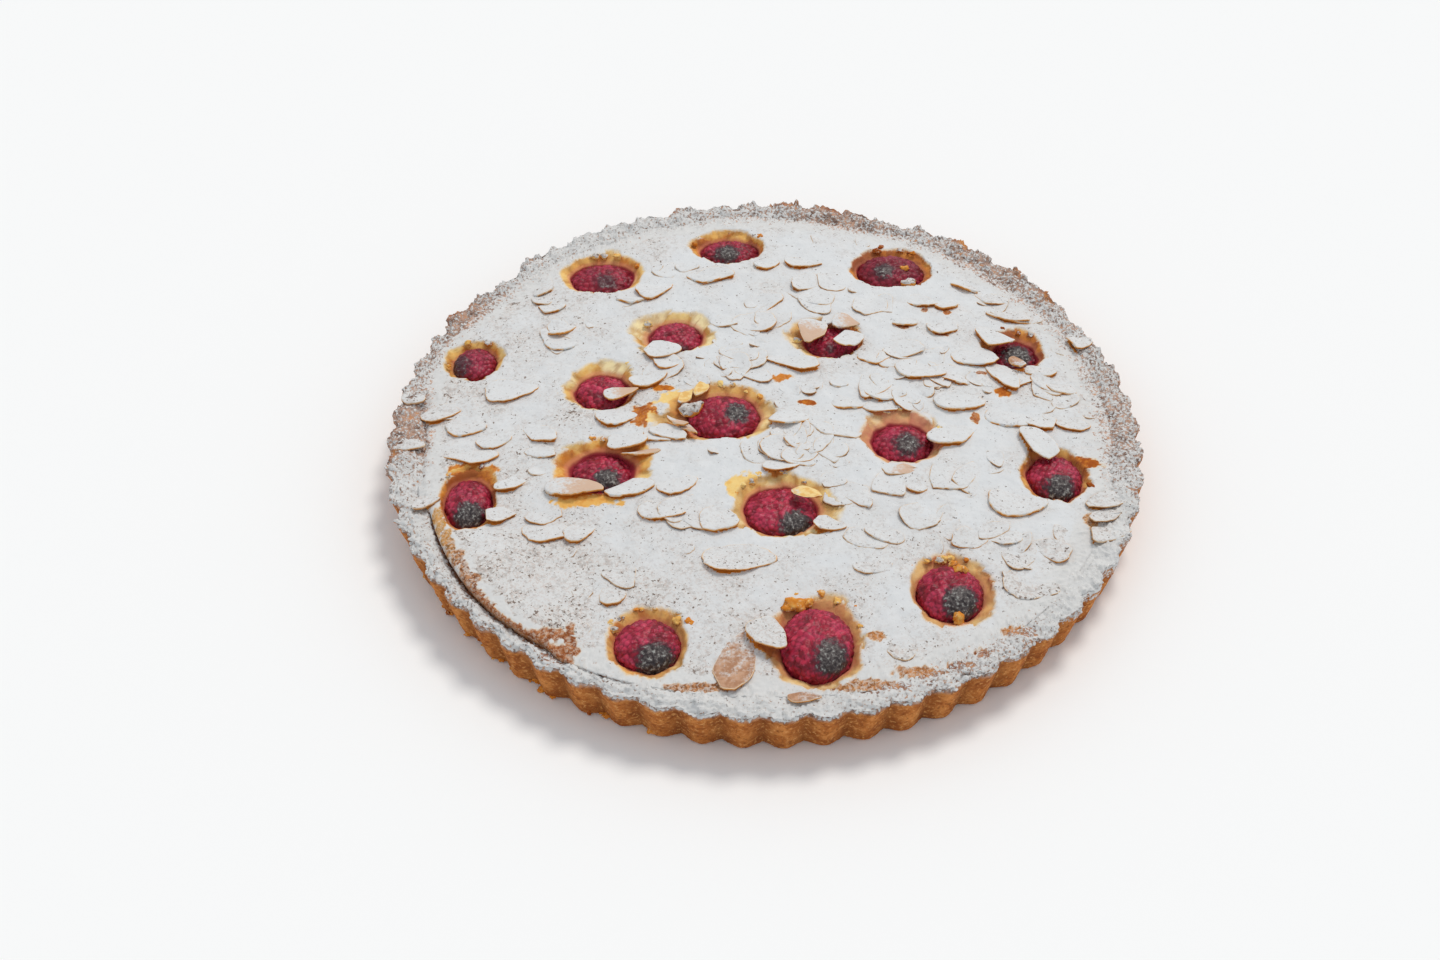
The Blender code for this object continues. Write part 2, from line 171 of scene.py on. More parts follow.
# Mesh densities
CRUST_COLUMNS = 1500
FOOT_ROWS = 2
WALL_ROWS = 32
EDGE_ROWS = 6
OUTER_RIM_ROWS = 12
INNER_RIM_ROWS = 11
WELL_ROWS = 8
EDGE_ROW = FOOT_ROWS + WALL_ROWS + EDGE_ROWS
CORNER_ROUNDS = 3
FILLING_CELLS = 360
BERRY_CELLS = 84
FLAKE_SIDES = 32

# Pastry and sugar: sizes of the sand, grains and clods
SAND = 0.0011
GRAIN = 0.00155
CLOD = 0.0032

# Rim: how much of the well's wall is modelled, and the share of the rim that is white with sugar, which
# differs round it: bearing, spread in degrees, added share. The bands are the heights between which the wall
# turns into the rim, sugar sets in, and grain sets in above the base
WELL_SHOWN = 0.0080
RIM_SUGAR = 0.61
RIM_SUGAR_SWELLS = (
    (262.0, 32.0, 0.30),
    (229.0, 12.0, 0.12),
    (122.0, 22.0, 0.20),
    (330.0, 18.0, 0.42),
    (200.0, 16.0, 0.18),
    (76.0, 7.0, -0.20),
    (46.0, 10.0, -0.14),
    (150.0, 7.0, -0.24),
    (180.0, 7.0, -0.24),
    (0.0, 12.0, -0.10),
)
CRUMB_HEIGHT = 0.0014
RIM_BAND = (RIM_HEIGHT - 0.0019, RIM_HEIGHT - 0.0007)
SUGAR_BAND = (RIM_HEIGHT - 0.0025, RIM_HEIGHT - 0.0001)
BASE_BAND = (0.0, 0.0012)
WALL_SUGAR_PLACE = (342.0, 26.0)
WALL_SUGAR_DROP = 0.0070

# Filling: how far its edge lies under the rim's crumbs, how far it stays off the shell at the crack, where it
# dips under the rim, and where its bare side shows, with the side's rings in mm below the edge. Towards the
# front, between two distances from the middle, sugar lies thinner
FILLING_OVERLAP = 0.0030
CRACK_PLACE = (217.0, 20.0)
CRACK_SHOWN = 0.0001
SHOULDER_DROP = 0.0010
DIP_PLACE = (184.0, 10.0)
DIP_DROP = 0.0022
SIDE_PLACE = (228.0, 12.5)
SIDE_SHOWN = 0.0014
SIDE_DROPS = (0.8, 1.8, 3.2, 5.0, 8.0)
SIDE_SLOPE = 0.25
SIDE_TONE = 0.95
SIDE_BROWN = 0.5
FRONT = (0.010, 0.105)

# Raspberries: size of a drupelet, how closely these lie, how far they stray from their even places as a share
# of the radius, how round they are and how much their sizes differ; how far the body lies inside the solid's
# box, how full its shoulders are, how far down from its top it is modelled, how dark the painted shade on its
# back right side is and which way that side faces; and how far from a raspberry's middle its pit begins and
# ends
DRUPELET = 0.0019
DRUPELET_CROWDING = 0.87
DRUPELET_STRAY = 0.045
DRUPELET_ROUNDNESS = 0.64
DRUPELET_SIZES = (0.45, 1.1)
ELLIPSOID_POWER = 1.6
BERRY_SEED = 300
BERRY_INSET = 0.0004
BERRY_FULLNESS = 2.5
BERRY_SHOWN = math.radians(140)
BERRY_PAINTED_SHADE = 0.58
BERRY_PAINTED_SHADE_FACING = (0.75, 0.55, -0.35)
PIT_BERRY_REACH = 0.95
PIT_FARTHEST = 0.035

# Each pit: how far its bare wall reaches beyond the raspberry to the left, right, back and front in mm, its
# tone from 0 for pale gold to 1 for russet, how much juice stains it, and how many crumbs lie on its edge
PITS = (
    (3.6, 5.6, 4.2, 3.0, 0.45, 0.10, 5),
    (4.4, 2.6, 3.4, 3.0, 0.70, 0.10, 3),
    (3.2, 4.4, 4.8, 3.2, 0.86, 0.22, 5),
    (4.2, 2.8, 3.6, 3.0, 0.55, 0.05, 3),
    (7.6, 5.0, 4.2, 3.0, 0.22, 0.05, 1),
    (6.6, 2.4, 4.0, 3.0, 0.30, 0.25, 1),
    (3.6, 3.2, 4.6, 3.2, 0.85, 0.20, 3),
    (4.6, 3.2, 5.6, 3.2, 0.22, 0.05, 2),
    (9.6, 4.6, 5.4, 3.2, 0.40, 0.15, 5),
    (4.0, 3.6, 5.8, 4.2, 0.34, 0.75, 3),
    (7.4, 8.0, 5.0, 3.8, 0.50, 0.05, 3),
    (2.8, 3.0, 3.2, 3.0, 0.68, 0.15, 4),
    (1.6, 2.2, 5.0, 3.4, 0.74, 0.05, 3),
    (4.2, 7.0, 5.4, 3.6, 0.32, 0.10, 9),
    (2.8, 4.2, 4.8, 4.4, 0.50, 0.50, 10),
    (3.4, 2.8, 4.6, 4.6, 0.48, 0.20, 10),
    (5.0, 3.4, 6.6, 4.6, 0.40, 0.42, 9),
)
PIT_LEAST_DEPTH = 0.0030
PIT_LEAST_REACH = 0.0012
PIT_LAYER = 10.0
PIT_CONTACT = 0.50
PIT_PLEATS = 0.50
PIT_UNEVEN = 0.09

# Each raspberry's scorched tip and red: pixel x, pixel y, radius in mm, strength, how dark the red is, and
# how far in mm the top has sunk
BERRIES = (
    (605, 281, 5.5, 0.50, 0.30, 1.4),
    (727, 253, 5.8, 0.85, 0.25, 0.5),
    (884, 270, 5.0, 0.68, 0.50, 0.0),
    (457, 367, 8.0, 0.52, 0.30, 1.5),
    (684, 351, 3.0, 0.45, 0.05, 0.8),
    (830, 348, 3.0, 0.45, 0.10, 2.0),
    (1017, 354, 6.5, 0.95, 0.50, 2.4),
    (600, 396, 3.0, 0.25, 0.00, 0.8),
    (737, 412, 5.2, 0.85, 0.05, 0.9),
    (908, 443, 6.2, 0.74, 0.12, 1.4),
    (607, 478, 5.6, 0.90, 0.00, 2.2),
    (1060, 488, 6.4, 0.95, 0.10, 1.4),
    (470, 516, 6.6, 0.95, 0.10, 1.4),
    (797, 525, 6.6, 0.95, 0.00, 2.4),
    (962, 603, 7.0, 1.00, 0.05, 0.2),
    (657, 662, 7.6, 1.00, 0.05, 1.4),
    (833, 658, 7.2, 0.90, 0.00, 0.4),
)

# Looks of a flake: sugared white, stained by the berries, golden, toasted; how bare of sugar it is and how
# much more towards its point
WHITE, PINK, GOLD, TAN = range(4)
BARENESS = {PINK: (0.62, 0.8), GOLD: (0.90, 0.8), TAN: (0.56, -0.4)}

# Flaked almonds that stand out: pixel x, pixel y, length and width in mm, turn in degrees, rise in steps, and
# the look of one that isn't white
FLAKES = (
    (511, 391, 18, 13, 0, 5),
    (467, 427, 15, 10, -5, 6),
    (495, 440, 13, 9, 25, 5),
    (540, 434, 15, 9, -35, 5),
    (414, 398, 10, 7, -25, 3),
    (410, 444, 11, 7, -15, 4),
    (471, 457, 19, 11, 0, 9),
    (425, 502, 11, 7, 15, 4),
    (512, 482, 14, 8, 32, 5),
    (540, 450, 13, 8, -30, 4),
    (575, 489, 21, 10, -8, 9, PINK),
    (630, 488, 17, 10, 12, 8),
    (677, 484, 14, 10, 20, 6),
    (662, 512, 15, 9, -8, 8),
    (548, 532, 17, 11, -5, 7),
    (580, 532, 12, 8, 35, 6),
    (500, 515, 12, 8, 20, 4),
    (545, 515, 13, 9, 0, 4),
    (617, 416, 15, 11, 10, 7),
    (621, 396, 12, 8, 15, 8, PINK),
    (656, 437, 12, 8, -10, 6),
    (668, 432, 16, 8, -30, 5),
    (628, 441, 15, 10, 0, 9),
    (648, 380, 14, 9, 25, 8),
    (662, 350, 14, 11, 0, 4),
    (670, 362, 12, 8, 10, 6),
    (795, 363, 20, 11, -10, 8),
    (793, 417, 16, 9, 20, 8),
    (848, 402, 12, 9, -20, 6),
    (885, 394, 14, 9, 0, 6),
    (880, 406, 13, 8, -5, 5),
    (876, 355, 15, 10, 24, 6),
    (848, 342, 12, 11, 20, 5),
    (812, 334, 15, 11, -100, 4, PINK),
    (832, 320, 9, 7, 60, 2),
    (847, 325, 11, 9, 0, 3, PINK),
    (922, 371, 18, 11, -5, 8),
    (955, 378, 12, 7, -35, 5),
    (992, 340, 15, 11, -20, 6),
    (1008, 316, 17, 9, -20, 6),
    (1018, 366, 8, 5, -60, 5, TAN),
    (975, 356, 19, 13, -15, 7),
    (1004, 377, 18, 9, -66, 8),
    (1025, 379, 12, 6, 75, 6),
    (1040, 373, 12, 8, 0, 6),
    (1062, 388, 11, 8, -20, 5),
    (1080, 342, 12, 8, 40, 6),
    (960, 402, 19, 11, 0, 8),
    (955, 433, 20, 12, 33, 8),
    (1012, 417, 19, 12, -8, 6),
    (1043, 423, 14, 9, -20, 7),
    (1072, 424, 13, 9, -15, 6),
    (1039, 448, 21, 10, -55, 4),
    (918, 487, 8, 6, 20, 5),
    (1017, 503, 21, 14, 0, 7),
    (1110, 499, 18, 8, 24, 3),
    (1106, 515, 14, 6, 30, 3),
    (1107, 533, 17, 7, 16, 3),
    (720, 520, 14, 12, -15, 7),
    (738, 559, 24, 13, 5, 6),
    (873, 564, 14, 8, 0, 3),
    (885, 533, 14, 9, -30, 3),
    (830, 524, 12, 8, -15, 5),
    (782, 465, 13, 8, 15, 7),
    (562, 331, 12, 8, 5, 9),
    (553, 308, 10, 7, 15, 6),
    (655, 290, 14, 11, 25, 8),
    (630, 299, 12, 8, 5, 7),
    (705, 278, 13, 9, 0, 7),
    (767, 265, 10, 7, 10, 6),
    (803, 264, 13, 7, 0, 5),
    (725, 322, 11, 7, -15, 3),
    (966, 288, 12, 6, -30, 8),
    (990, 300, 12, 7, -15, 4),
    (1010, 316, 16, 9, -30, 7),
    (922, 302, 11, 8, -20, 5),
    (946, 306, 9, 7, 0, 7),
    (903, 322, 10, 7, -15, 6),
    (944, 328, 13, 8, 10, 6),
    (737, 659, 26, 12, 72, 5, TAN),
    (768, 640, 17, 11, -50, 6),
    (805, 697, 11, 5, 0, 6, TAN),
    (808, 499, 11, 6, -10, 8, GOLD),
    (901, 467, 13, 8, 4, 3, PINK),
    (687, 396, 12, 5, 62, 6, GOLD),
    (702, 389, 11, 5, 76, 5, GOLD),
    (641, 453, 13, 4, 8, 7, PINK),
    (678, 424, 12, 4, -55, 12, PINK),
    (688, 430, 11, 4, -60, 12, PINK),
)

# Bare patches beside flakes and along the front: pixel x, pixel y, half width and half depth in mm, tone as
# for the pits, and how brown and dull they are. The dark russet tones beside flakes are partly bare filling
# and partly painted shade of the gaps under the flakes
BARE_PATCHES = (
    (622, 449, 9.0, 4.5, 0.80, 0.1),
    (645, 415, 5.5, 6.0, 0.86, 0.1),
    (1078, 462, 9.0, 3.0, 0.90, 0.0),
    (470, 470, 8.5, 3.4, 0.80, 0.1),
    (588, 500, 13.0, 3.2, 0.55, 0.0),
    (1003, 392, 2.6, 2.8, 0.86, 0.0),
    (781, 377, 3.5, 2.0, 0.75, 0.1),
    (677, 399, 7.5, 4.5, 0.30, 0.0),
    (664, 388, 4.0, 1.6, 0.82, 0.0),
    (744, 484, 6.0, 6.0, 0.34, 0.0),
    (437, 516, 2.2, 4.6, 0.54, 0.5),
    (441, 526, 2.2, 4.6, 0.54, 0.5),
    (446, 536, 2.2, 4.6, 0.55, 0.6),
    (451, 546, 2.2, 4.6, 0.55, 0.8),
    (457, 557, 2.2, 4.6, 0.60, 0.9),
    (464, 569, 2.0, 4.4, 0.80, 0.9),
    (472, 581, 2.0, 4.4, 0.90, 0.9),
    (806, 402, 3.0, 1.5, 0.88, 0.0),
    (976, 418, 1.8, 2.6, 0.88, 0.2),
    (925, 310, 1.5, 1.2, 1.00, 0.5),
    (947, 312, 1.7, 1.3, 0.90, 0.2),
    (903, 327, 1.9, 1.2, 1.00, 0.6),
    (942, 334, 2.2, 1.2, 0.90, 0.3),
    (982, 373, 2.6, 1.2, 0.90, 0.4),
    (1022, 380, 1.4, 3.4, 0.84, 0.1),
    (1038, 427, 2.2, 1.2, 0.95, 0.5),
    (921, 670, 9.0, 2.6, 0.70, 0.7),
    (961, 664, 5.0, 2.0, 0.70, 0.7),
    (1021, 630, 6.0, 2.8, 0.76, 0.5),
    (983, 651, 3.2, 2.6, 0.95, 0.6),
    (872, 684, 14.0, 2.6, 0.66, 0.8),
    (698, 686, 12.0, 1.8, 0.66, 0.9),
    (875, 636, 3.0, 2.2, 0.70, 0.6),
    (1091, 520, 2.6, 4.5, 0.60, 0.6),
    (545, 634, 8.5, 2.4, 0.95, 0.6),
    (570, 642, 2.0, 9.0, 0.95, 0.6),
    (556, 653, 7.0, 4.0, 0.95, 0.5),
)

# Crumbs: pixel x, pixel y, radius in mm, look
CRUMBS = (
    (694, 409, 3.6, WHITE),
    (961, 570, 2.5, GOLD),
    (953, 565, 1.6, GOLD),
    (958, 618, 2.5, GOLD),
    (794, 605, 3.0, GOLD),
    (808, 603, 1.8, GOLD),
    (912, 350, 1.0, TAN),
    (905, 268, 1.4, PINK),
    (909, 282, 2.2, WHITE),
)

# Flakes: how far a raised side stands up for each step in the list above, how far the other side lies under
# the sugar, how many sides may be broken and where as a share of the reach to that side, how far one may lie
# up on a raspberry, the sine of its steepest tilt, how much of its skin may be under sugar, how far in mm it
# may bend along, across and askew, and how far in degrees its raised side may turn from the camera
RISE_STEP = 0.00024
FLAKE_SINK = 0.0004
FLAKE_BREAKS = (0, 1, 1, 2)
FLAKE_BREAK_AT = (0.55, 0.95)
FLAKE_CLEARANCE = 0.0030
FLAKE_THICKNESS = (0.0006, 0.0010)
FLAKE_STEEPEST = 0.5
FLAKE_BURIED = (0.15, 0.85)
FLAKE_BENDS = ((-0.4, 0.8), (-0.3, 0.5), (-0.9, 0.9))
FLAKE_SWING = 18

# Rings of a flake from the middle of its top over the edge to its underside: share of the outline, share of
# the thickness above the middle, how much skin shows; and which ring is the lower edge
FLAKE_RINGS = (
    (0.35, 0.5, 0.0),
    (0.68, 0.5, 0.0),
    (0.93, 0.5, 0.0),
    (0.985, 0.40, 0.45),
    (1.0, 0.15, 0.70),
    (1.0, -0.4, 1.0),
    (0.93, -0.5, 0.8),
    (0.55, -0.5, 0.5),
)
FLAKE_LOWER_RING = 5

# How much of the ground under a raised flake is bare of sugar, its tone, and the gaps above it from which
# sugar is missing in part and altogether
UNDER_SHARE = 0.93
UNDER_TONE = 0.74
UNDER_GAP = (0.00005, 0.00035)

# Scattered flakes: how many of a kind, their lengths and how far they stand up; how far out they lie, their
# widths as a share of the length, how likely one is far from the drifts, how far they stay off the pits, and
# the length in mm above which a flake of the list keeps them away
SCATTERED = (
    (92, (0.012, 0.020), (0.0001, 0.0012)),
    (56, (0.005, 0.010), (0.0001, 0.0006)),
)
SCATTER_RADIUS = 0.114
SCATTER_WIDTH = (0.56, 0.74)
SCATTER_SWING = 110
SCATTER_LEAST = 0.08
SCATTER_SEED = 7
PIT_CLEAR = 0.0040
LARGE_FLAKE = 18

# Where scattered flakes lie thickest: x, y, reach
FLAKE_DRIFTS = (
    (0.072, 0.024, 0.038),
    (0.005, 0.012, 0.036),
    (0.080, -0.040, 0.018),
)

# Loose crumbs at the pits and along the foot of the wall: the middle and spread of their bearings, their
# radii in mm, how many lie at the foot, and tones
PIT_CRUMB_BEARINGS = (90, 42)
PIT_CRUMB_SIZES = (0.6, 1.5)
FOOT_CRUMB_BEARINGS = (222, 14)
FOOT_CRUMB_SIZES = (0.5, 1.3)
FOOT_CRUMBS = 26
CRUMB_SEED = 23
CRUMB_TONE = 0.66
TAN_CRUMB_TONE = 0.85


# Noise and shared formulas

def layered(points, spacing, layer):
    """Points in units of the spacing. Each layer, which is any number, gives another noise."""
    return (points / spacing + (0, 0, layer)).tolist()


def waves(points, spacing, layer):
    """Smooth noise between -1 and 1 with hills about one spacing apart."""
    return np.array([noise.noise(p) for p in layered(points, spacing, layer)])


def roughness(points, spacing, layer):
    """Rough noise around 0 whose largest hills are about one spacing apart."""
    return np.array([noise.fractal(p, *ROUGHNESS_OCTAVES) for p in layered(points, spacing, layer)])


def lumps(points, spacing, layer):
    """Rounded lumps about one spacing apart, 0 in the creases, and a chance from 0 to 1 for each lump."""
    found = [noise.voronoi(p) for p in layered(points, spacing, layer)]
    near, next_near = np.array([distances[:2] for distances, _ in found]).T
    middles = np.array([middle[0] for _, middle in found])
    chance = np.modf(np.abs(np.sin(middles @ CHANCE_DIRECTION) * CHANCE_SCALE))[0]
    return smooth(next_near - near, 0.0, LUMP_CREASE), chance


def smooth(values, low, high):
    """0 below low and 1 above high, with a smooth slope between."""
    share = np.clip((values - low) / (high - low), 0, 1)
    return share * share * (3 - 2 * share)


def columns(*values):
    """Rows of numbers from their columns, some of which may be one number for all rows."""
    return np.stack(np.broadcast_arrays(*values), axis=-1)


def middle_and_half(low, high):
    """The middle of a box and its half sizes."""
    return (low + high) / 2, (high - low) / 2


def unit_rows(rows):
    return rows / np.linalg.norm(rows, axis=-1, keepdims=True)


def swell(bearings, centre, spread):
    away = (bearings - centre + 180) % 360 - 180
    return np.exp(-(away / spread) ** 2)


def swells(bearings, rows):
    return sum(added * swell(bearings, centre, spread) for centre, spread, added in rows)


def flute(bearings):
    """0 in the groove between two flutes and 1 on the crest of one."""
    wave = np.abs(np.cos(np.radians((bearings - FIRST_FLUTE_CREST) * FLUTES / 2)))
    return FLUTE_ROUNDNESS * wave + (1 - FLUTE_ROUNDNESS) * wave * wave


def wall_radius(bearings, heights):
    at_top = RIM_RADIUS + swells(bearings, RIM_SWELLS)
    straight = FOOT_RADIUS + (at_top - FOOT_RADIUS) * heights / RIM_HEIGHT
    return straight - FLUTE_DEPTH * (1 - flute(bearings))


def opening_radius(bearings, heights):
    at_top = OPENING_RADIUS + swells(bearings, OPENING_SWELLS)
    share = (heights - FLOOR_THICKNESS) / (RIM_HEIGHT - FLOOR_THICKNESS)
    return FLOOR_RADIUS + (at_top - FLOOR_RADIUS) * share


def at_bearings(bearings, radii, heights):
    """Points in rows of x, y and z."""
    angles = np.radians(bearings)
    return columns(radii * np.cos(angles), radii * np.sin(angles), heights)


def crag(bearings, radii):
    here = at_bearings(bearings, radii, 0.0)
    fine = waves(here, CRAG_SPACING, 3)
    coarse = waves(here, CRAG_COARSE_SPACING, 8)
    return CRAG_HEIGHT * (CRAG_FINE * fine + CRAG_COARSE * coarse)


def surface(x, y):
    """Height of the filling's top, pits aside."""
    radii = np.hypot(x, y)
    near_edge = np.clip(1 - np.maximum(0, OPENING_RADIUS - radii) / LIFTED_REACH, 0, 1)
    lifted = swell(np.degrees(np.arctan2(y, x)), *LIFTED_PLACE)
    rise = LIFTED_RISE * lifted * smooth(near_edge, 0, 1)
    dome = DOME_TOP - DOME_FALL * (radii / DOME_FALL_RADIUS) ** 2
    return dome + rise + SWELL_HEIGHT * waves(columns(x, y, 0.0), SWELL_SPACING, 5)


def berry_share(x, y, middle, half, margin=0.0):
    """How far places are from a raspberry's middle, where its outline and the margin lie at 1."""
    return np.hypot((x - middle.x) / (half.x + margin), (y - middle.y) / (half.y + margin))


def height_at(x, y):
    return float(surface(np.array([x]), np.array([y]))[0])


# Lines of sight

def sight_line(pixel):
    """Start and direction of the line through a pixel of the photograph's frame."""
    forward = Vector((0, math.cos(CAMERA_ELEVATION), -math.sin(CAMERA_ELEVATION)))
    upward = Vector((0, math.sin(CAMERA_ELEVATION), math.cos(CAMERA_ELEVATION)))
    focal = LENS / SENSOR_WIDTH * PHOTO_SIZE[0]
    across = (pixel[0] - PHOTO_SIZE[0] / 2) / focal
    above = (PHOTO_SIZE[1] / 2 - pixel[1]) / focal
    direction = forward + across * Vector((1, 0, 0)) + above * upward
    return CAMERA_TARGET - CAMERA_DISTANCE * forward, direction


def ground(x, y):
    """Height of what a flake lies on: the filling, or the rim outside it."""
    opening = float(opening_radius(math.degrees(math.atan2(y, x)), RIM_HEIGHT))
    least = RIM_HEIGHT + CREST_RISE if math.hypot(x, y) > opening else 0.0
    return max(height_at(x, y), least)


def on_top(pixel):
    """Where a pixel's line of sight meets the top of the tart."""
    start, direction = sight_line(pixel)
    height = DOME_TOP
    for _ in range(SIGHT_STEPS):
        point = start + direction * ((height - start.z) / direction.z)
        height = ground(point.x, point.y)
    return point


# Meshes

def placed_object(name, data):
    made = bpy.data.objects.new(name, data)
    bpy.context.scene.collection.objects.link(made)
    return made


def mesh_piece(name, points, faces, material, attributes):
    """A smooth piece that rides on the tart, with a number at each point for each attribute."""
    mesh = bpy.data.meshes.new(name)
    mesh.from_pydata(points.tolist(), [], faces)
    for key, values in attributes.items():
        stored = mesh.attributes.new(key, "FLOAT", "POINT")
        stored.data.foreach_set("value", np.asarray(values, np.float32))
    mesh.shade_smooth()
    mesh.materials.append(material)
    piece = placed_object(name, mesh)
    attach(piece, "root")
    return piece


def disc_grid(cells):
    """A square grid bent into a unit disc: points, faces facing up, and the edge's points anticlockwise."""
    steps = np.linspace(-1, 1, cells + 1)
    u, v = (side.ravel() for side in np.meshgrid(steps, steps))
    wide = np.abs(u) >= np.abs(v)
    reach = np.where(wide, u, v)
    safe = np.where(reach == 0, 1, reach)
    angle = np.where(wide, math.pi / 4 * v / safe, math.pi / 2 - math.pi / 4 * u / safe)
    number = np.arange(len(u)).reshape(cells + 1, cells + 1)
    faces = columns(number[:-1, :-1], number[:-1, 1:], number[1:, 1:], number[1:, :-1]).reshape(-1, 4)
    edge = np.concatenate([number[0, :-1], number[:-1, -1], number[-1, :0:-1], number[:0:-1, 0]])
    return columns(reach * np.cos(angle), reach * np.sin(angle)), faces.tolist(), edge.tolist()


def numbered(count, row, first=0):
    """Point numbers of some rows."""
    return (first + np.arange(count * row)).reshape(count, row).tolist()


def band_faces(rows):
    """Quads between closed rows of point numbers."""
    return [corners for row, above in zip(rows, rows[1:])
            for corners in zip(row, row[1:] + row[:1], above[1:] + above[:1], above)]


def fan_faces(row, tip, turned=False):
    """Triangles between a closed row of point numbers and one more point."""
    pairs = zip(row, row[1:] + row[:1])
    return [(b, a, tip) if turned else (a, b, tip) for a, b in pairs]


def band_normals(grid):
    """Outward directions of a closed band whose rows run upwards on its outer side."""
    along = np.roll(grid, -1, axis=1) - np.roll(grid, 1, axis=1)
    upward = np.gradient(grid, axis=0)
    return unit_rows(np.cross(along, upward))


# Materials

def paint(red, green, blue):
    """A colour given as the photograph's 0 to 255 values, as linear light."""
    linear = [((c / 255 + 0.055) / 1.055) ** 2.4 for c in (red, green, blue)]
    return (*linear, 1.0)


class Value:
    """A number or colour made by a node. Adding, subtracting and multiplying make more nodes."""

    def __init__(self, shader, socket):
        self.shader = shader
        self.socket = socket

    def __add__(self, other):
        return self.shader.maths("ADD", self, other)

    def __sub__(self, other):
        return self.shader.maths("SUBTRACT", self, other)

    def __rsub__(self, other):
        return self.shader.maths("SUBTRACT", other, self)

    def __mul__(self, other):
        return self.shader.maths("MULTIPLY", self, other)


class Shader:
    """A material's node tree with short calls for the nodes used here. Sizes are in mm."""

    def __init__(self, name, rough, specular):
        self.material = bpy.data.materials.new(name)
        self.material.use_nodes = True
        self.tree = self.material.node_tree
        self.surface = self.tree.nodes["Principled BSDF"]
        self.surface.inputs["Roughness"].default_value = rough
        self.surface.inputs["Specular IOR Level"].default_value = specular
        place = self.node("ShaderNodeTexCoord", {}, {}, "Object")
        self.place = self.node("ShaderNodeVectorMath", {"operation": "SCALE"}, {0: place, "Scale": 1 / MM})

    def node(self, kind, settings, inputs, output=0):
        made = self.tree.nodes.new(kind)
        for key, value in settings.items():
            setattr(made, key, value)
        for key, value in inputs.items():
            if isinstance(value, Value):
                self.tree.links.new(value.socket, made.inputs[key])
            else:
                made.inputs[key].default_value = value
        return Value(self, made.outputs[output])

    def attributes(self, *names):
        return [self.node("ShaderNodeAttribute", {"attribute_name": name}, {}, "Fac") for name in names]

    def upward(self):
        """1 where the surface faces up, 0 where it is upright."""
        normal = self.node("ShaderNodeNewGeometry", {}, {}, "Normal")
        return self.node("ShaderNodeSeparateXYZ", {}, {0: normal}, "Z")

    def noise(self, size, detail=2.0, rough=0.5):
        return self.node("ShaderNodeTexNoise", {}, {
            "Vector": self.place, "Scale": 1 / size, "Detail": detail, "Roughness": rough})

    def maths(self, operation, first, second):
        return self.node("ShaderNodeMath", {"operation": operation}, {0: first, 1: second})

    def ramp(self, value, low, high, start=0.0, end=1.0):
        return self.node("ShaderNodeMapRange", {"interpolation_type": "SMOOTHSTEP"}, {
            "Value": value, "From Min": low, "From Max": high, "To Min": start, "To Max": end})

    def mix(self, factor, first, second):
        """A mix of two colours, each made by a node or given as for paint."""
        first, second = (paint(*side) if isinstance(side, tuple) else side for side in (first, second))
        return self.node("ShaderNodeMix", {"data_type": "RGBA"}, {0: factor, 6: first, 7: second}, 2)

    def over(self, colour, value, low, high, new, most=1.0):
        """The colour, with a new one over it from nowhere at low to its largest share at high."""
        return self.mix(self.ramp(value, low, high, 0.0, most), colour, new)

    def bands(self, value, *stops):
        """A colour that runs through the stops, which are pairs of a value and a colour."""
        low, colour = stops[0]
        for high, following in stops[1:]:
            colour = self.over(colour, value, low, high, following)
            low = high
        return colour

    def specks(self, size, amount, low, high):
        """Small irregular specks, in clusters and more of them where the amount is near 1."""
        crowd = self.noise(5 * size) * 0.14 + amount * 0.12
        return self.ramp(self.noise(size, 2.0, 0.75) + crowd, low, high)

    def finish(self, colour, height, depth):
        """The material with its colour and its relief, whose depth is in mm."""
        bump = self.node("ShaderNodeBump", {}, {"Height": height, "Distance": depth * MM, "Strength": 1.0})
        self.tree.links.new(colour.socket, self.surface.inputs["Base Color"])
        self.tree.links.new(bump.socket, self.surface.inputs["Normal"])
        return self.material


def sugar_colour(shader, thin):
    """Icing sugar, a little darker and warmer where it lies thin."""
    thick = shader.mix(shader.noise(5.0, 3.0), (211, 213, 215), (227, 228, 229))
    return shader.mix(thin, thick, (212, 206, 198))


def dusted(shader, thin):
    """Icing sugar over filling and flakes: faint marks, and dark specks, most where it lies thin."""
    grains = shader.ramp(shader.noise(1.0, 2.0, 0.7), 0.50, 0.62, 0.0, 0.75) * thin
    colour = shader.mix(grains, sugar_colour(shader, thin * 0.5), (198, 178, 168))
    marks = shader.specks(1.8, thin, 0.62, 0.80) * (thin * 0.36 + 0.14)
    colour = shader.mix(marks, colour, (150, 136, 128))
    dark = shader.mix(shader.noise(3.0), (86, 78, 76), (146, 124, 108))
    return shader.mix(shader.specks(1.35, thin, 0.735, 0.82), colour, dark)


def salted(shader, sugared, under, grain):
    """Icing sugar in white grains over rough pastry, most where sugared is near 1, and its cover."""
    facing = shader.ramp(shader.upward(), -0.1, 0.75)
    level = sugared * 0.42 + shader.noise(1.05, 3.0, 0.70) - 0.21 + facing * 0.16 + grain * 0.10
    cover = shader.ramp(level, 0.635, 0.760)
    return shader.mix(cover, under, sugar_colour(shader, 0.3)), cover


def crumbly_colour(shader):
    """What shows between the grains of sugar: greyish brown with some warmer crumbs."""
    return shader.bands(
        shader.noise(2.6, 2.0, 0.6),
        (0.34, (122, 96, 84)),
        (0.46, (164, 132, 116)),
        (0.58, (196, 160, 140)),
        (0.72, (204, 148, 108)),
    )


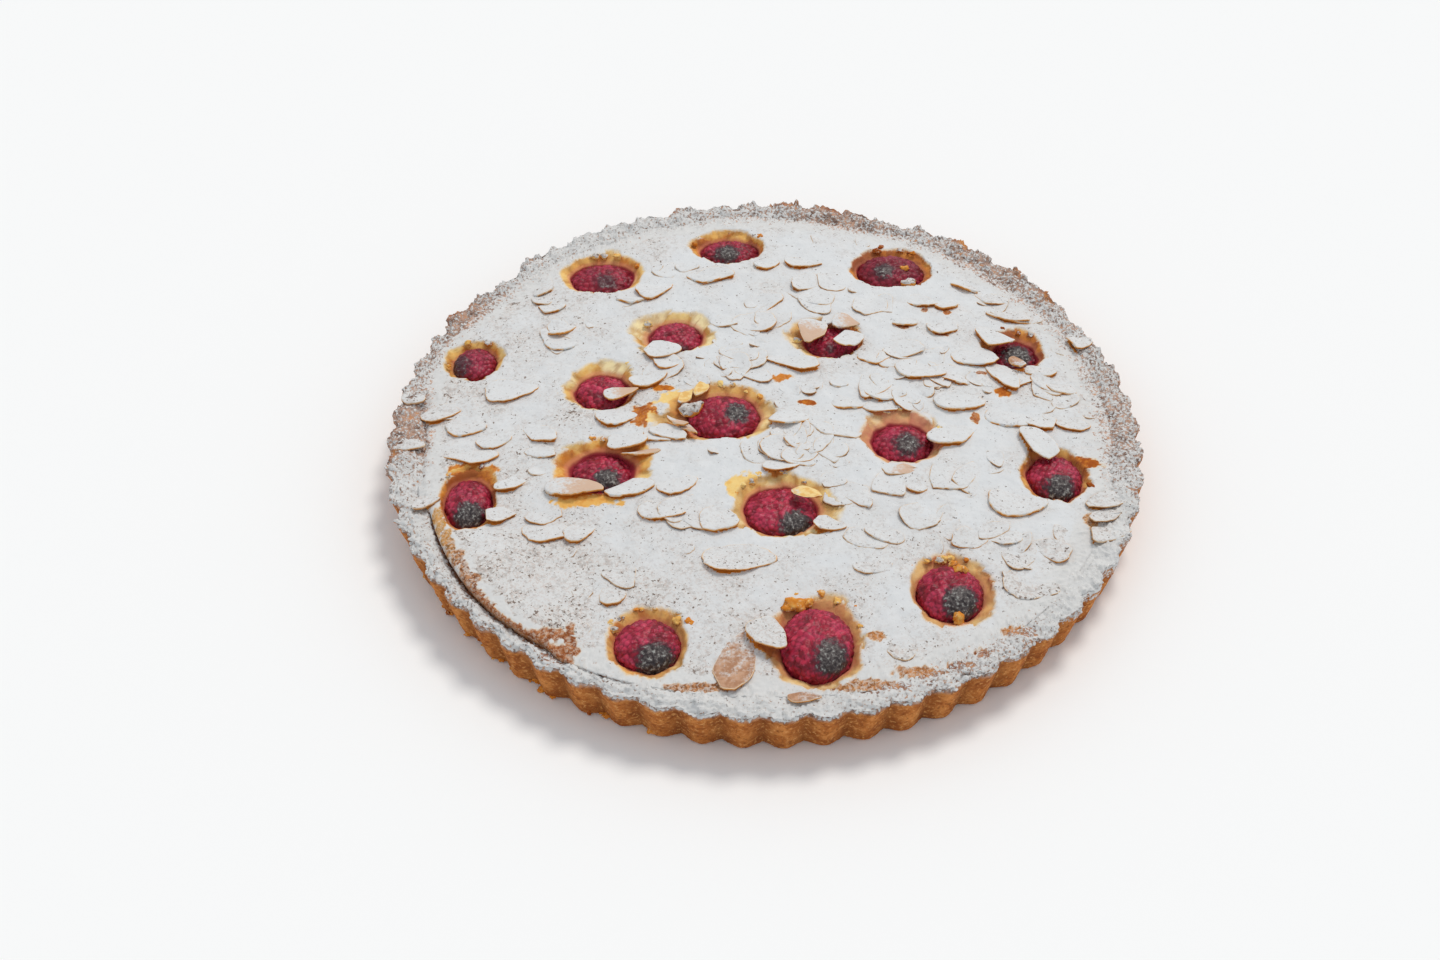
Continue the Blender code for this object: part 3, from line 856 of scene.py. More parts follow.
def crust_material():
    """Golden sandy pastry with painted shade in the grooves between the flutes, and icing sugar in grains on
    the rim.
    """
    shader = Shader("pastry", 0.88, 0.2)
    rim, groove, grain, crumb, sugared = shader.attributes("rim", "groove", "grain", "crumb", "sugared")
    sand = shader.noise(1.3, 3.0, 0.7)
    broad = shader.noise(6.0, 3.0, 0.6)
    baked = shader.bands(broad, (0.36, (210, 136, 70)), (0.50, (190, 114, 52)), (0.64, (162, 90, 38)))
    # Painted shade: the pastry is darker in the grooves between the flutes.
    baked = shader.mix(groove * 0.6, baked, (120, 66, 28))
    baked = shader.over(baked, sand, 0.54, 0.66, (226, 166, 100), 0.7)
    baked = shader.over(baked, sand, 0.46, 0.34, (124, 68, 28), 0.7)
    under = shader.mix(rim, baked, crumbly_colour(shader))
    crumb_colour = shader.over((204, 136, 72), broad, 0.42, 0.58, (166, 108, 80))
    under = shader.mix(crumb * 0.9, under, crumb_colour)
    colour, cover = salted(shader, sugared, under, grain)
    return shader.finish(colour, sand * 1.2 + cover * 0.4, 0.35)


def golden_colour(shader, tone):
    """Baked filling from pale gold through amber to russet."""
    cloudy = shader.noise(2.2, 3.0, 0.6)
    return shader.bands(
        cloudy * 0.5 + tone - 0.25,
        (0.05, (246, 228, 178)),
        (0.28, (242, 208, 134)),
        (0.50, (236, 184, 100)),
        (0.72, (216, 132, 42)),
        (0.95, (160, 78, 18)),
    )


def filling_material():
    """Icing sugar with specks over a golden filling that shows in the pits and along the edge."""
    shader = Shader("sugared_filling", 0.85, 0.25)
    bare, thin, edge, sugared = shader.attributes("bare", "thin", "edge", "sugared")
    tone, slit, brown, stain, juice = shader.attributes("tone", "slit", "brown", "stain", "juice")
    grit = shader.noise(1.5, 3.0, 0.65)
    gold = shader.mix(slit * 0.5, golden_colour(shader, tone), (158, 100, 54))
    dull = shader.over((194, 142, 104), grit, 0.38, 0.62, (110, 68, 44))
    under = shader.mix(brown, gold, dull)
    under = shader.mix(stain, under, (208, 138, 120))
    moist = shader.mix(0.50, under, (222, 138, 112))
    under = shader.bands(juice, (0.0, under), (0.55, moist), (1.0, (142, 32, 46)))
    salty, _ = salted(shader, sugared, crumbly_colour(shader), 0.5)
    sugar = shader.over(dusted(shader, thin), edge, 0.02, 0.30, salty)
    sugar = shader.mix(stain * 0.35, sugar, (226, 180, 164))
    glow = shader.mix(brown, (232, 206, 156), (200, 176, 160))
    sugar = shader.over(sugar, bare, 0.02, 0.45, glow, 0.55)
    sprinkled = shader.ramp(shader.noise(1.05, 3.0, 0.70), 0.47, 0.58, 0.0, 0.85) * brown
    bared = shader.ramp(grit + bare - 0.50, 0.20, 0.72) * (1.0 - sprinkled)
    return shader.finish(shader.mix(bared, sugar, under), grit, 0.25)


def flake_material():
    """Almond slices: toasted skin round the edge with painted light on it, sugared, stained, golden or
    toasted on top.
    """
    shader = Shader("flaked_almond", 0.8, 0.25)
    skin, bare, thin = shader.attributes("skin", "bare", "thin")
    warm, toasted, stain = shader.attributes("warm", "toasted", "stain")
    broad = shader.noise(2.4)
    grit = shader.noise(1.2, 2.0, 0.65)
    cloudy = shader.ramp(broad, 0.4, 0.62)
    almond = shader.mix(cloudy, (240, 210, 146), (228, 182, 108))
    almond = shader.mix(toasted, almond, shader.mix(cloudy, (197, 155, 126), (173, 128, 98)))
    almond = shader.mix(stain * 0.9, almond, (207, 177, 159))
    lie = shader.noise(3.4, 3.0, 0.6) * 0.7 + grit * 0.7 + bare - 0.70
    top = shader.over(dusted(shader, thin), lie, 0.30, 0.70, almond)
    # Painted light and shade: edges of high flakes lighter orange, of low flakes darker brown.
    side = shader.mix(warm, (194, 148, 104), (222, 150, 70))
    rind = shader.mix(warm, (124, 86, 58), (166, 96, 40))
    worn = grit * 0.30 + broad * 0.50 + skin - 0.40
    colour = shader.bands(worn, (0.18, top), (0.40, (232, 208, 178)), (0.62, side), (0.90, rind))
    return shader.finish(colour, grit, 0.2)


def berry_material():
    """Baked raspberry: crimson drupelets, painted shade between them, painted pink highlights, charcoal where
    scorched.
    """
    shader = Shader("baked_raspberry", 0.42, 0.35)
    crease_shade, tint, scorch, deep = shader.attributes("crease_shade", "tint", "scorch", "deep")
    fine = shader.noise(1.1, 2.0, 0.6)
    red = shader.bands(tint, (0.0, (120, 6, 30)), (0.5, (156, 15, 46)), (1.0, (190, 40, 70)))
    red = shader.over(red, shader.noise(5.0), 0.44, 0.64, (208, 62, 98), 0.6)
    # Painted highlights: pale pink glints on the drupelets.
    red = shader.over(red, fine, 0.60, 0.72, (222, 110, 136), 0.5)
    # Painted shade in the creases between the drupelets.
    red = shader.mix(crease_shade * 0.65, red, (84, 2, 22))
    # deep: how dark each raspberry's red is, with painted shade on its sunk and back right parts.
    red = shader.mix(deep, red, (76, 0, 18))
    # Painted highlights: the pale grey specks on the charcoal stand for wet glints.
    coal = shader.bands(fine, (0.40, (46, 38, 40)), (0.56, (82, 74, 73)), (0.70, (156, 156, 152)))
    burnt = fine * 0.35 + scorch - 0.175
    red = shader.over(red, burnt, 0.04, 0.56, (84, 30, 44))
    return shader.finish(shader.over(red, burnt, 0.32, 0.82, coal), fine, 0.25)


def crumb_material():
    """Loose crumbs, coloured by their own look."""
    shader = Shader("crumbs", 0.85, 0.25)
    tone, sugared = shader.attributes("tone", "sugared")
    fine = shader.noise(1.2, 3.0, 0.6)
    body = shader.over(golden_colour(shader, tone), fine, 0.56, 0.70, (240, 222, 190), 0.6)
    dust = shader.ramp(shader.upward(), 0.1, 0.7) * sugared + fine * 0.7
    colour = shader.over(body, dust, 0.85, 1.0, dusted(shader, 1.0))
    return shader.finish(colour, fine, 0.3)


# Shell

def rim_profile(bearings):
    """Rings from the foot over the rim into the well: radius, height and rows up to the next ring."""
    rough = crag(bearings, RIM_RADIUS)
    crumbs = swells(bearings, RIM_CRUMBS)
    high = RIM_HEIGHT - EDGE_DROP + 0.4 * rough
    inner = opening_radius(bearings, RIM_HEIGHT)
    outer = wall_radius(bearings, RIM_HEIGHT)
    edge = outer + FLUTE_FADE * FLUTE_DEPTH * (1 - flute(bearings)) - EDGE_INSET + 0.5 * rough + 0.6 * crumbs
    crest = inner + CREST_PLACE * (outer - inner)
    crest_height = RIM_HEIGHT + CREST_RISE + crag(bearings, crest) + 0.8 * crumbs
    lip_height = RIM_HEIGHT + 0.5 * crag(bearings, OPENING_RADIUS)
    deep = RIM_HEIGHT - WELL_SHOWN
    return (
        (wall_radius(bearings, 0) - FOOT_BEVEL, 0.0, FOOT_ROWS),
        (wall_radius(bearings, FOOT_BEVEL_HEIGHT), FOOT_BEVEL_HEIGHT, WALL_ROWS),
        (wall_radius(bearings, high) + 0.25 * crumbs, high, EDGE_ROWS),
        (edge, RIM_HEIGHT + EDGE_RISE + rough + 0.7 * crumbs, OUTER_RIM_ROWS),
        (crest, crest_height, INNER_RIM_ROWS),
        (opening_radius(bearings, lip_height), lip_height, WELL_ROWS),
        (opening_radius(bearings, deep), deep, 0),
    )


def profile_rows(rings):
    """Rows of radius and height between the rings, with the corners between them rounded."""
    rows = []
    for (radius, height, steps), (next_radius, next_height, _) in zip(rings, rings[1:]):
        here, there = columns(radius, height), columns(next_radius, next_height)
        rows += [here + step / steps * (there - here) for step in range(steps)]
    rows = np.array([*rows, there])
    for _ in range(CORNER_ROUNDS):
        rows[3:-1] = (rows[2:-2] + 2 * rows[3:-1] + rows[4:]) / 4
    return rows


def rim_sugar(bearings):
    return RIM_SUGAR + swells(bearings, RIM_SUGAR_SWELLS)


def crumble(points, rim, edge_band):
    """How far in mm the grain pushes each point outwards, and how high each lies on its own grain."""
    grains, grain_chance = lumps(points, GRAIN, 1)
    clods, clod_chance = lumps(points, CLOD, 2)
    sandy = roughness(points, SAND, 4)
    broad = roughness(points, 4.0 * MM, 6)
    push = 0.14 * sandy + 0.25 * broad
    push += rim * 0.75 * (grains * (0.4 + 0.9 * grain_chance) - 0.55)
    push += rim * 0.55 * (clods * clod_chance - 0.35)
    push += edge_band * 0.9 * (clods * clod_chance ** 2 * 1.8 - 0.5)
    return push, grains * (0.5 + 0.5 * clods)


def crust_looks(points, row, bearings):
    """How far in mm the grain pushes each point of the shell outwards, and all the numbers for its looks."""
    heights = points[:, 2]
    ragged = 0.5 * MM * roughness(points, 2.0 * MM, 9)
    on_rim = row < EDGE_ROW + OUTER_RIM_ROWS + INNER_RIM_ROWS + WELL_ROWS // 2
    rim = smooth(heights + ragged, *RIM_BAND) * on_rim
    dusty = WALL_SUGAR_DROP * swell(bearings, *WALL_SUGAR_PLACE)
    white = smooth(heights + 2 * ragged + dusty, *SUGAR_BAND) * on_rim
    white = np.maximum(rim, 0.95 * white)
    patch = bare_patches(points[:, 0], points[:, 1], ragged / MM)[0] * rim
    edge_band = np.exp(-((row - EDGE_ROW - 2) / 4.5) ** 2)
    push, grain = crumble(points, rim, edge_band)
    crumbs = swells(bearings, RIM_CRUMBS) / CRUMB_HEIGHT * edge_band
    return push * smooth(heights, *BASE_BAND), {
        "rim": rim,
        # groove: where shade is painted, in the grooves between the flutes below the rim
        "groove": (1 - flute(bearings)) * (1 - rim),
        "grain": grain,
        "crumb": np.clip(np.maximum(crumbs, 0.6 * patch), 0, 1),
        "sugared": rim_sugar(bearings) * white - (1 - white) - 0.4 * np.clip(crumbs, 0, 1) - 0.28 * patch,
    }


def make_crust(cad_box):
    """The whole shell: wall, crumbly rim, inner wall and flat base."""
    bearings = np.arange(CRUST_COLUMNS) * 360 / CRUST_COLUMNS
    profile = profile_rows(rim_profile(bearings))
    grid = at_bearings(bearings, profile[..., 0], profile[..., 1])
    points = grid.reshape(-1, 3)
    row = np.repeat(np.arange(len(grid)), CRUST_COLUMNS)
    push, looks = crust_looks(points, row, np.tile(bearings, len(grid)))
    points = points + band_normals(grid).reshape(-1, 3) * (push * MM)[:, None]
    points = np.clip(points, *np.array(cad_box))
    total = len(points)
    points = np.vstack([points, (0, 0, 0), (0, 0, RIM_HEIGHT - WELL_SHOWN)])
    rows = numbered(len(grid), CRUST_COLUMNS)
    faces = band_faces(rows) + fan_faces(rows[0], total, turned=True) + fan_faces(rows[-1], total + 1)
    looks = {key: np.append(values, (0, 0)) for key, values in looks.items()}
    piece = mesh_piece("tart_crust", points, faces, crust_material(), looks)
    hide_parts("crust")


# Filling

def pit_reach(number, side, fore, half):
    """How far from its middle a raspberry meets its pit in a direction, and how far the bare wall goes on."""
    left, right, back, front = PITS[number][:4]
    berry_reach = PIT_BERRY_REACH / np.hypot(side / half.x, fore / half.y)
    wall = MM * (side ** 2 * np.where(side > 0, right, left) + fore ** 2 * np.where(fore > 0, back, front))
    return berry_reach, wall


def pit_looks(number, x, y, ragged, half, sunk):
    """How deep one pit is at points given from its middle, and all the numbers for its looks."""
    tone, stain = PITS[number][4:6]
    layer = PIT_LAYER * number
    away = np.hypot(x, y)
    side, fore = x / away, y / away
    berry_reach, reach = pit_reach(number, side, fore, half)
    turned = columns(1.4 * side, 1.4 * fore, layer)
    berry_reach = berry_reach * (1 + PIT_UNEVEN * waves(1.6 * turned, 1.0, 9))
    reach = reach * (1 + 0.45 * waves(turned, 1.0, 0) + 0.15 * waves(2.7 * turned, 1.0, 4))
    share = (away - berry_reach) / np.maximum(reach, PIT_LEAST_REACH)
    wedges = columns(1.7 * side, 1.7 * fore, 0.7 * share + layer)
    pieces, chance = lumps(wedges + 0.12 * ragged[:, None], 1.0, 7)
    share = share + (PIT_PLEATS * (chance - 0.5) + 0.08 * ragged) * smooth(share, 0.2, 0.8)
    streaks = columns(7 * side, 7 * fore, 0.6 * share + layer)
    floor = max(sunk - PIT_CONTACT * half.z, min(sunk, PIT_LEAST_DEPTH))
    fall = floor * (np.clip(1 - share, 0, 1.35) ** 1.25 + 0.05 * np.clip(1.6 - share, 0, 1))
    wall = np.clip(1.2 - share, 0, 1.2)
    return fall, {
        "depth": fall + MM * smooth(wall, 0.1, 0.5) * (0.25 * (1 - pieces) - 0.6 * (chance - 0.5)),
        "wall": wall,
        "juice": smooth(share, 0.50, -0.10),
        "tone": tone + 0.5 * (chance - 0.5) + 0.12 * (1 - pieces) + 0.14 * smooth(share, 0.9, 0.0) - 0.10,
        "stain": stain * smooth(share, 1.3, 0.8) * (0.35 + 0.65 * chance),
        "slit": np.maximum(1 - pieces, smooth(waves(streaks, 1.0, 2), 0.28, 0.5)) * smooth(wall, 0.1, 0.4),
    }


def pit_shape(x, y, ragged, berries):
    """Numbers at each point of the top for the pits. Where two meet, the deeper one counts."""
    found = {name: np.zeros_like(x) for name in ("depth", "wall", "juice", "tone", "stain", "slit")}
    for number, (middle, half) in enumerate(berries):
        near = np.hypot(x - middle.x, y - middle.y) < PIT_FARTHEST
        sunk = height_at(middle.x, middle.y) - middle.z
        fall, looks = pit_looks(number, x[near] - middle.x, y[near] - middle.y, ragged[near], half, sunk)
        deeper = fall > found["depth"][near]
        for name, values in looks.items():
            found[name][near] = np.where(deeper, values, found[name][near])
    return found


def bare_patches(x, y, ragged):
    """How bare each point is beside flakes and along the front, with its tone and brownness."""
    bare, tone, brown = np.zeros_like(x), np.full_like(x, 0.6), np.zeros_like(x)
    for px, py, half_width, half_depth, patch_tone, patch_brown in BARE_PATCHES:
        spot = on_top((px, py))
        away = np.hypot((x - spot.x) / (half_width * MM), (y - spot.y) / (half_depth * MM))
        patch = smooth(away + 0.38 * ragged, 1.12, 0.66)
        more = patch > bare
        bare = np.where(more, patch, bare)
        tone = np.where(more, patch_tone, tone)
        brown = np.where(more, patch_brown, brown)
    return bare, tone, brown


def under_flakes(points, undersides):
    """1 at points of the top that a raised flake keeps free of sugar."""
    hidden = np.zeros(len(points))
    for ring in undersides:
        middle = ring.mean(axis=0)
        inner = middle + UNDER_SHARE * (ring - middle)
        reach = np.abs(inner - middle).max(axis=0)
        near = np.flatnonzero((np.abs(points - middle)[:, :2] < reach[:2]).all(axis=1))
        if len(near) == 0:
            continue
        along = np.roll(inner, -1, axis=0) - inner
        away = points[near, None, :2] - inner[None, :, :2]
        inside = (along[:, 0] * away[..., 1] - along[:, 1] * away[..., 0] > 0).all(axis=1)
        slope = np.linalg.lstsq(columns(ring[:, 0], ring[:, 1], 1.0), ring[:, 2], rcond=None)[0]
        gap = points[near, :2] @ slope[:2] + slope[2] - points[near, 2]
        hidden[near] = np.maximum(hidden[near], inside * smooth(gap, *UNDER_GAP))
    return hidden


def sugar_thinness(points, inset):
    """How thin the sugar lies: thinner along the edge, at the front and on the left, and in patches."""
    x, y = points[:, 0], points[:, 1]
    near_front = smooth(-y, *FRONT) * smooth(x, 110 * MM, 10 * MM)
    near_left = smooth(-x, 0, 100 * MM)
    patchy = roughness(points, 16 * MM, 11)
    thin = 0.08 + 0.45 * smooth(inset, 16 * MM, 0) + 0.32 * near_front + 0.30 * near_left + 0.42 * patchy
    return np.clip(thin, 0, 1)


def filling_looks(points, pits, hidden, inset, ragged, side_here):
    """Numbers at each point of the top for its material, apart from the grains along the rim."""
    side_bare = smooth((SIDE_SHOWN + 1.7 * MM * ragged - inset) / MM, -0.4, 0.7) * side_here
    patch, patch_tone, patch_brown = bare_patches(points[:, 0], points[:, 1], ragged)
    in_pit = smooth(pits["wall"], 0.0, 0.3)
    brown = np.where(side_bare > patch, SIDE_BROWN, patch_brown) * (1 - in_pit) * (1 - hidden)
    tone = np.where(in_pit > 0.3, pits["tone"], np.where(side_bare > patch, SIDE_TONE, patch_tone))
    return {
        "bare": np.maximum.reduce([smooth(pits["wall"], 0.0, 0.75), side_bare, patch, hidden]),
        "tone": np.where(hidden > 0.3, np.maximum(tone, UNDER_TONE), tone),
        "brown": brown,
        "stain": pits["stain"],
        "juice": pits["juice"],
        "slit": pits["slit"],
        "thin": sugar_thinness(points, inset),
    }


def hang_side(points, faces, edge, looks, side_here):
    """The top with a side that hangs from its edge in rings, each drawn in a little, closed at the bottom."""
    sides = []
    for drop in SIDE_DROPS:
        ring = points[edge]
        ring[:, 2] -= drop * MM
        ring[:, :2] *= (1 - SIDE_SLOPE * drop * MM / np.hypot(ring[:, 0], ring[:, 1]))[:, None]
        sides.append(ring)
    rows = [edge, *numbered(len(SIDE_DROPS), len(edge), len(points))]
    points = np.vstack([points, *sides])
    faces += [(a, d, c, b) for a, b, c, d in band_faces(rows)]
    faces += fan_faces(rows[-1], len(points), turned=True)
    points = np.vstack([points, (0, 0, sides[-1][:, 2].min())])
    side = np.append(np.tile(side_here[edge], len(SIDE_DROPS)), 1)
    side_looks = {"bare": side, "tone": 0.7, "brown": 0.8, "thin": 1, "edge": 1, "sugared": RIM_SUGAR}
    looks = {key: np.append(top, side_looks.get(key, 0) + 0 * side) for key, top in looks.items()}
    return points, faces, looks


def make_filling(berries, undersides):
    """The domed top with its pits, and the side that shows along the crack."""
    flat, faces, edge = disc_grid(FILLING_CELLS)
    bearings = np.degrees(np.arctan2(flat[:, 1], flat[:, 0])) % 360
    cracked = smooth(swell(bearings, *CRACK_PLACE), 0.30, 0.50)
    overlap = FILLING_OVERLAP - (CRACK_SHOWN + FILLING_OVERLAP) * cracked
    reach = opening_radius(bearings, RIM_HEIGHT) + overlap
    x, y = flat[:, 0] * reach, flat[:, 1] * reach
    inset = reach - np.hypot(x, y)
    points = columns(x, y, 0.0)
    powder = roughness(points, 5.0 * MM, 2)
    fine = roughness(points, 1.6 * MM, 7)
    ragged = 1.2 * powder + 0.6 * fine
    pits = pit_shape(x, y, ragged, berries)
    shoulder = smooth(inset, 1.6 * MM, 0.0) ** 2
    under_rim = smooth(inset, 3.4 * MM, 0.6 * MM) * swell(bearings, *DIP_PLACE)
    points[:, 2] = surface(x, y) - (SHOULDER_DROP * shoulder * cracked + DIP_DROP * under_rim)
    points[:, 2] += MM * (0.25 * powder + 0.12 * fine) - pits["depth"] * (1 + 0.10 * fine)
    salty = smooth(inset - FILLING_OVERLAP * (1 - cracked) - 2.4 * MM * ragged, 7.0 * MM, -1.0 * MM)
    grains, chance = lumps(points, GRAIN, 1)
    points[:, 2] += 0.7 * MM * salty * (grains * (0.4 + 0.9 * chance) - 0.5)
    side_here = smooth(swell(bearings, *SIDE_PLACE), 0.2, 0.6)
    looks = filling_looks(points, pits, under_flakes(points, undersides), inset, ragged, side_here)
    looks["edge"] = salty
    looks["sugared"] = 1.15 - salty * (1.15 - rim_sugar(bearings))
    points, faces, looks = hang_side(points, faces, edge, looks, side_here)
    piece = mesh_piece("tart_filling", points, faces, filling_material(), looks)
    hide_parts("filling")


# Raspberries

def directions(lean, turn):
    """Unit vectors that lean away from straight up."""
    return columns(np.sin(lean) * np.cos(turn), np.sin(lean) * np.sin(turn), np.cos(lean))


def spiral(count):
    """Evenly spaced directions on a spiral round a sphere, as the drupelets of a raspberry lie."""
    index = np.arange(count) + 0.5
    return directions(np.arccos(1 - 2 * index / count), index * math.pi * (3 - math.sqrt(5)))


def berry_shape(towards, half):
    """Points of the raspberry's smooth body, fuller at the shoulders than an ellipsoid."""
    across = np.hypot(towards[:, 0], towards[:, 1])
    upward = np.abs(towards[:, 2])
    fuller = (across ** BERRY_FULLNESS + upward ** BERRY_FULLNESS) ** (-1 / BERRY_FULLNESS)
    return towards * fuller[:, None] * np.array(half)


def on_berry(pixel, middle, half):
    """Where a pixel's line of sight first meets a raspberry, or passes closest to it, from its middle."""
    start, direction = sight_line(pixel)
    scale = np.array(half)
    origin = (np.array(start) - np.array(middle)) / scale
    ray = np.array(direction) / scale
    a, b, c = ray @ ray, 2 * origin @ ray, origin @ origin - 1
    under_root = max(0.0, b * b - 4 * a * c)
    return (origin + ray * (-b - math.sqrt(under_root)) / (2 * a)) * scale


def drupelet_middles(half, draw):
    """Middles of the drupelets all over a raspberry, whose area is nearly that of an ellipsoid."""
    power = ELLIPSOID_POWER
    pairs = ((half.x * half.y) ** power, (half.x * half.z) ** power, (half.y * half.z) ** power)
    area = 4 * math.pi * (sum(pairs) / 3) ** (1 / power)
    towards = spiral(int(area / (DRUPELET_CROWDING * DRUPELET ** 2)))
    towards = towards + draw.normal(0, DRUPELET_STRAY, towards.shape)
    return berry_shape(unit_rows(towards), half)


def drupelets(body, half, draw):
    """How far each point of the body stands out on a drupelet, how near it is to the gaps between drupelets,
    where shade is painted, and its tint.
    """
    middles = drupelet_middles(half, draw)
    gaps = np.linalg.norm(body[:, None, :] - middles[None, :, :], axis=2)
    nearest = gaps.argmin(axis=1)
    near, next_near = np.partition(gaps, 1, axis=1)[:, :2].T
    dome = np.sqrt(np.clip(1 - (near / (DRUPELET_ROUNDNESS * DRUPELET)) ** 2, 0, 1))
    size = draw.uniform(*DRUPELET_SIZES, len(middles))[nearest]
    tint = draw.uniform(0, 1, len(middles))[nearest]
    return dome * size, smooth(next_near - near, 0.5 * MM, 0.0), tint


def make_berry(number, low, high, material):
    """The part of a raspberry that may be seen, with its drupelets and its scorched tip."""
    tip_x, tip_y, tip_radius, strength, darkness, sunk_top = BERRIES[number - 1]
    high = high - Vector((0, 0, sunk_top * MM))
    middle, half = middle_and_half(low, high)
    draw = np.random.default_rng(BERRY_SEED + number)
    flat, faces, edge = disc_grid(BERRY_CELLS)
    lean = 2 * np.arcsin(np.hypot(flat[:, 0], flat[:, 1]) * math.sin(BERRY_SHOWN / 2))
    towards = directions(lean, np.arctan2(flat[:, 1], flat[:, 0]))
    body = berry_shape(towards, half - Vector((1, 1, 1)) * BERRY_INSET)
    dome, crease_shade, tint = drupelets(body, half, draw)
    tip = on_berry((tip_x, tip_y), middle, half)
    from_tip = np.linalg.norm(body - tip, axis=1) / (tip_radius * MM)
    placed = body + np.array(middle)
    crisp = roughness(placed, 1.4 * MM, 5)
    scorch = smooth(from_tip + 0.3 * crisp, 1.25, 0.35) * strength
    push = (0.80 * dome - 0.40) * (1 - 0.5 * scorch)
    push += scorch * (0.35 * crisp + 0.5 * smooth(from_tip, 0.9, 0.2))
    points = placed + unit_rows(body / np.array(half) ** 2) * (push * MM)[:, None]
    points = np.clip(points, np.array(low), np.array(high))
    sunk = height_at(middle.x, middle.y) - points[:, 2]
    # Painted shade: the red darkens the deeper a point lies below the top of the filling.
    below = 0.65 * smooth(sunk, 1.5 * MM, 5.0 * MM)
    # Painted shade on the back right side of the raspberry.
    painted_side_shade = smooth(towards @ BERRY_PAINTED_SHADE_FACING + 0.25 * roughness(placed, 5.0 * MM, 6), 0.25, 0.95)
    looks = {
        # Painted shade between the drupelets.
        "crease_shade": np.append(crease_shade, 1),
        "tint": np.append(tint, 0),
        "scorch": np.append(scorch, 0),
        # deep: how dark the red is, with the painted shade of depth and of the back right side added.
        "deep": np.append(np.clip(np.maximum(darkness, below) + BERRY_PAINTED_SHADE * painted_side_shade, 0, 1), 1),
    }
    faces += fan_faces(edge, len(points), turned=True)
    points = np.vstack([points, np.array(middle) - (0, 0, 0.95 * half.z)])
    piece = mesh_piece(f"raspberry_{number:02d}", points, faces, material, looks)
    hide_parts(f"berry_{number:02d}")


# Flaked almonds

class Heap:
    """Many small bodies gathered into one mesh."""

    def __init__(self, names):
        self.points = []
        self.faces = []
        self.values = {name: [] for name in names}
        self.undersides = []
        self.count = 0

    def add(self, points, faces, **values):
        self.points.append(points)
        self.faces += [tuple(self.count + corner for corner in face) for face in faces]
        for name, value in values.items():
            self.values[name].append(np.broadcast_to(value, len(points)))
        self.count += len(points)

    def piece(self, name, material, cad_box):
        """One mesh of all the bodies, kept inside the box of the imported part."""
        points = np.clip(np.vstack(self.points), *np.array(cad_box))
        values = {key: np.concatenate(rows) for key, rows in self.values.items()}
        return mesh_piece(name, points, self.faces, material, values)


def flake_outline(length, width, draw):
    """An almond's uneven outline, pointed towards +X, with straight breaks on some sides."""
    turn = np.arange(FLAKE_SIDES) * 2 * math.pi / FLAKE_SIDES
    along, across = np.cos(turn), np.sin(turn)
    chips = columns(1.3 * along, 1.3 * across, draw.uniform(0, NOISE_LAYERS))
    uneven = 1 + 0.16 * waves(chips, 1.0, 0) + 0.07 * waves(2.5 * chips, 1.0, 5)
    outline = columns(0.5 * length * along, 0.5 * width * across * (1 - 0.30 * along)) * uneven[:, None]
    for _ in range(draw.choice(FLAKE_BREAKS)):
        side = draw.uniform(0, 2 * math.pi)
        facing = np.array([math.cos(side), math.sin(side)])
        reach = outline @ facing
        outline -= np.maximum(0, reach - draw.uniform(*FLAKE_BREAK_AT) * reach.max())[:, None] * facing
    return outline


def flake_body(length, width, thickness, draw):
    """Points, faces and skin shares of a curved almond slice that lies flat at the origin."""
    outline = flake_outline(length, width, draw)
    patches = columns(*outline.T / (2.5 * MM), draw.uniform(0, NOISE_LAYERS))
    shown = 1 - draw.uniform(*FLAKE_BURIED) * smooth(waves(patches, 1.0, 3), -0.1, 0.4)
    cup, roll, twist = (draw.uniform(*bend) * MM for bend in FLAKE_BENDS)
    points = []
    skin = []
    for share, lift, brown in FLAKE_RINGS:
        x, y = share * outline.T
        along, across = x / (0.5 * length), y / (0.5 * width)
        z = lift * thickness + cup * along ** 2 + roll * across ** 2 + twist * along * across
        points.append(columns(x, y, z))
        skin += list(brown * shown)
    points = np.vstack([*points, (0, 0, 0.5 * thickness), (0, 0, -0.5 * thickness)])
    rows = numbered(len(FLAKE_RINGS), FLAKE_SIDES)
    top = len(points) - 2
    faces = [(b, a, d, c) for a, b, c, d in band_faces(rows)]
    faces += fan_faces(rows[0], top) + fan_faces(rows[-1], top + 1, turned=True)
    return points, faces, np.array(skin + [0.0, 0.5])


def top_normal(x, y):
    """Which way the filling's top faces, from its height on four sides."""
    step = 2 * MM
    along_x = Vector((2 * step, 0, height_at(x + step, y) - height_at(x - step, y)))
    along_y = Vector((0, 2 * step, height_at(x, y + step) - height_at(x, y - step)))
    return along_x.cross(along_y).normalized()


def clearance(points, berries):
    """How far the points have to rise to lie on the raspberries below them."""
    needed = 0.0
    for middle, half in berries:
        away = berry_share(points[:, 0], points[:, 1], middle, half)
        over = away < 1
        if over.any():
            height = middle.z + half.z * (1 - away[over] ** BERRY_FULLNESS) ** (1 / BERRY_FULLNESS)
            needed = max(needed, float((height - points[over, 2]).max()))
    return min(needed, FLAKE_CLEARANCE)


def flake_place(middle, size, thickness, turn, rise, towards):
    """The matrix that lays a flat flake down with the side facing the bearing towards raised by rise."""
    length, width = size
    facing = math.radians(towards)
    hinge = Vector((-math.sin(facing), math.cos(facing), 0))
    spread = max(width, 0.8 * length * abs(math.cos(facing - math.radians(turn))))
    tilt = Matrix.Rotation(-math.asin(min(FLAKE_STEEPEST, (rise + FLAKE_SINK) / spread)), 4, hinge)
    upright = Vector((0, 0, 1)).rotation_difference(top_normal(middle.x, middle.y)).to_matrix().to_4x4()
    raised = middle + Vector((0, 0, 0.5 * (rise - FLAKE_SINK) - 0.5 * thickness))
    return np.array(Matrix.Translation(raised) @ upright @ tilt @ Matrix.Rotation(math.radians(turn), 4, "Z"))


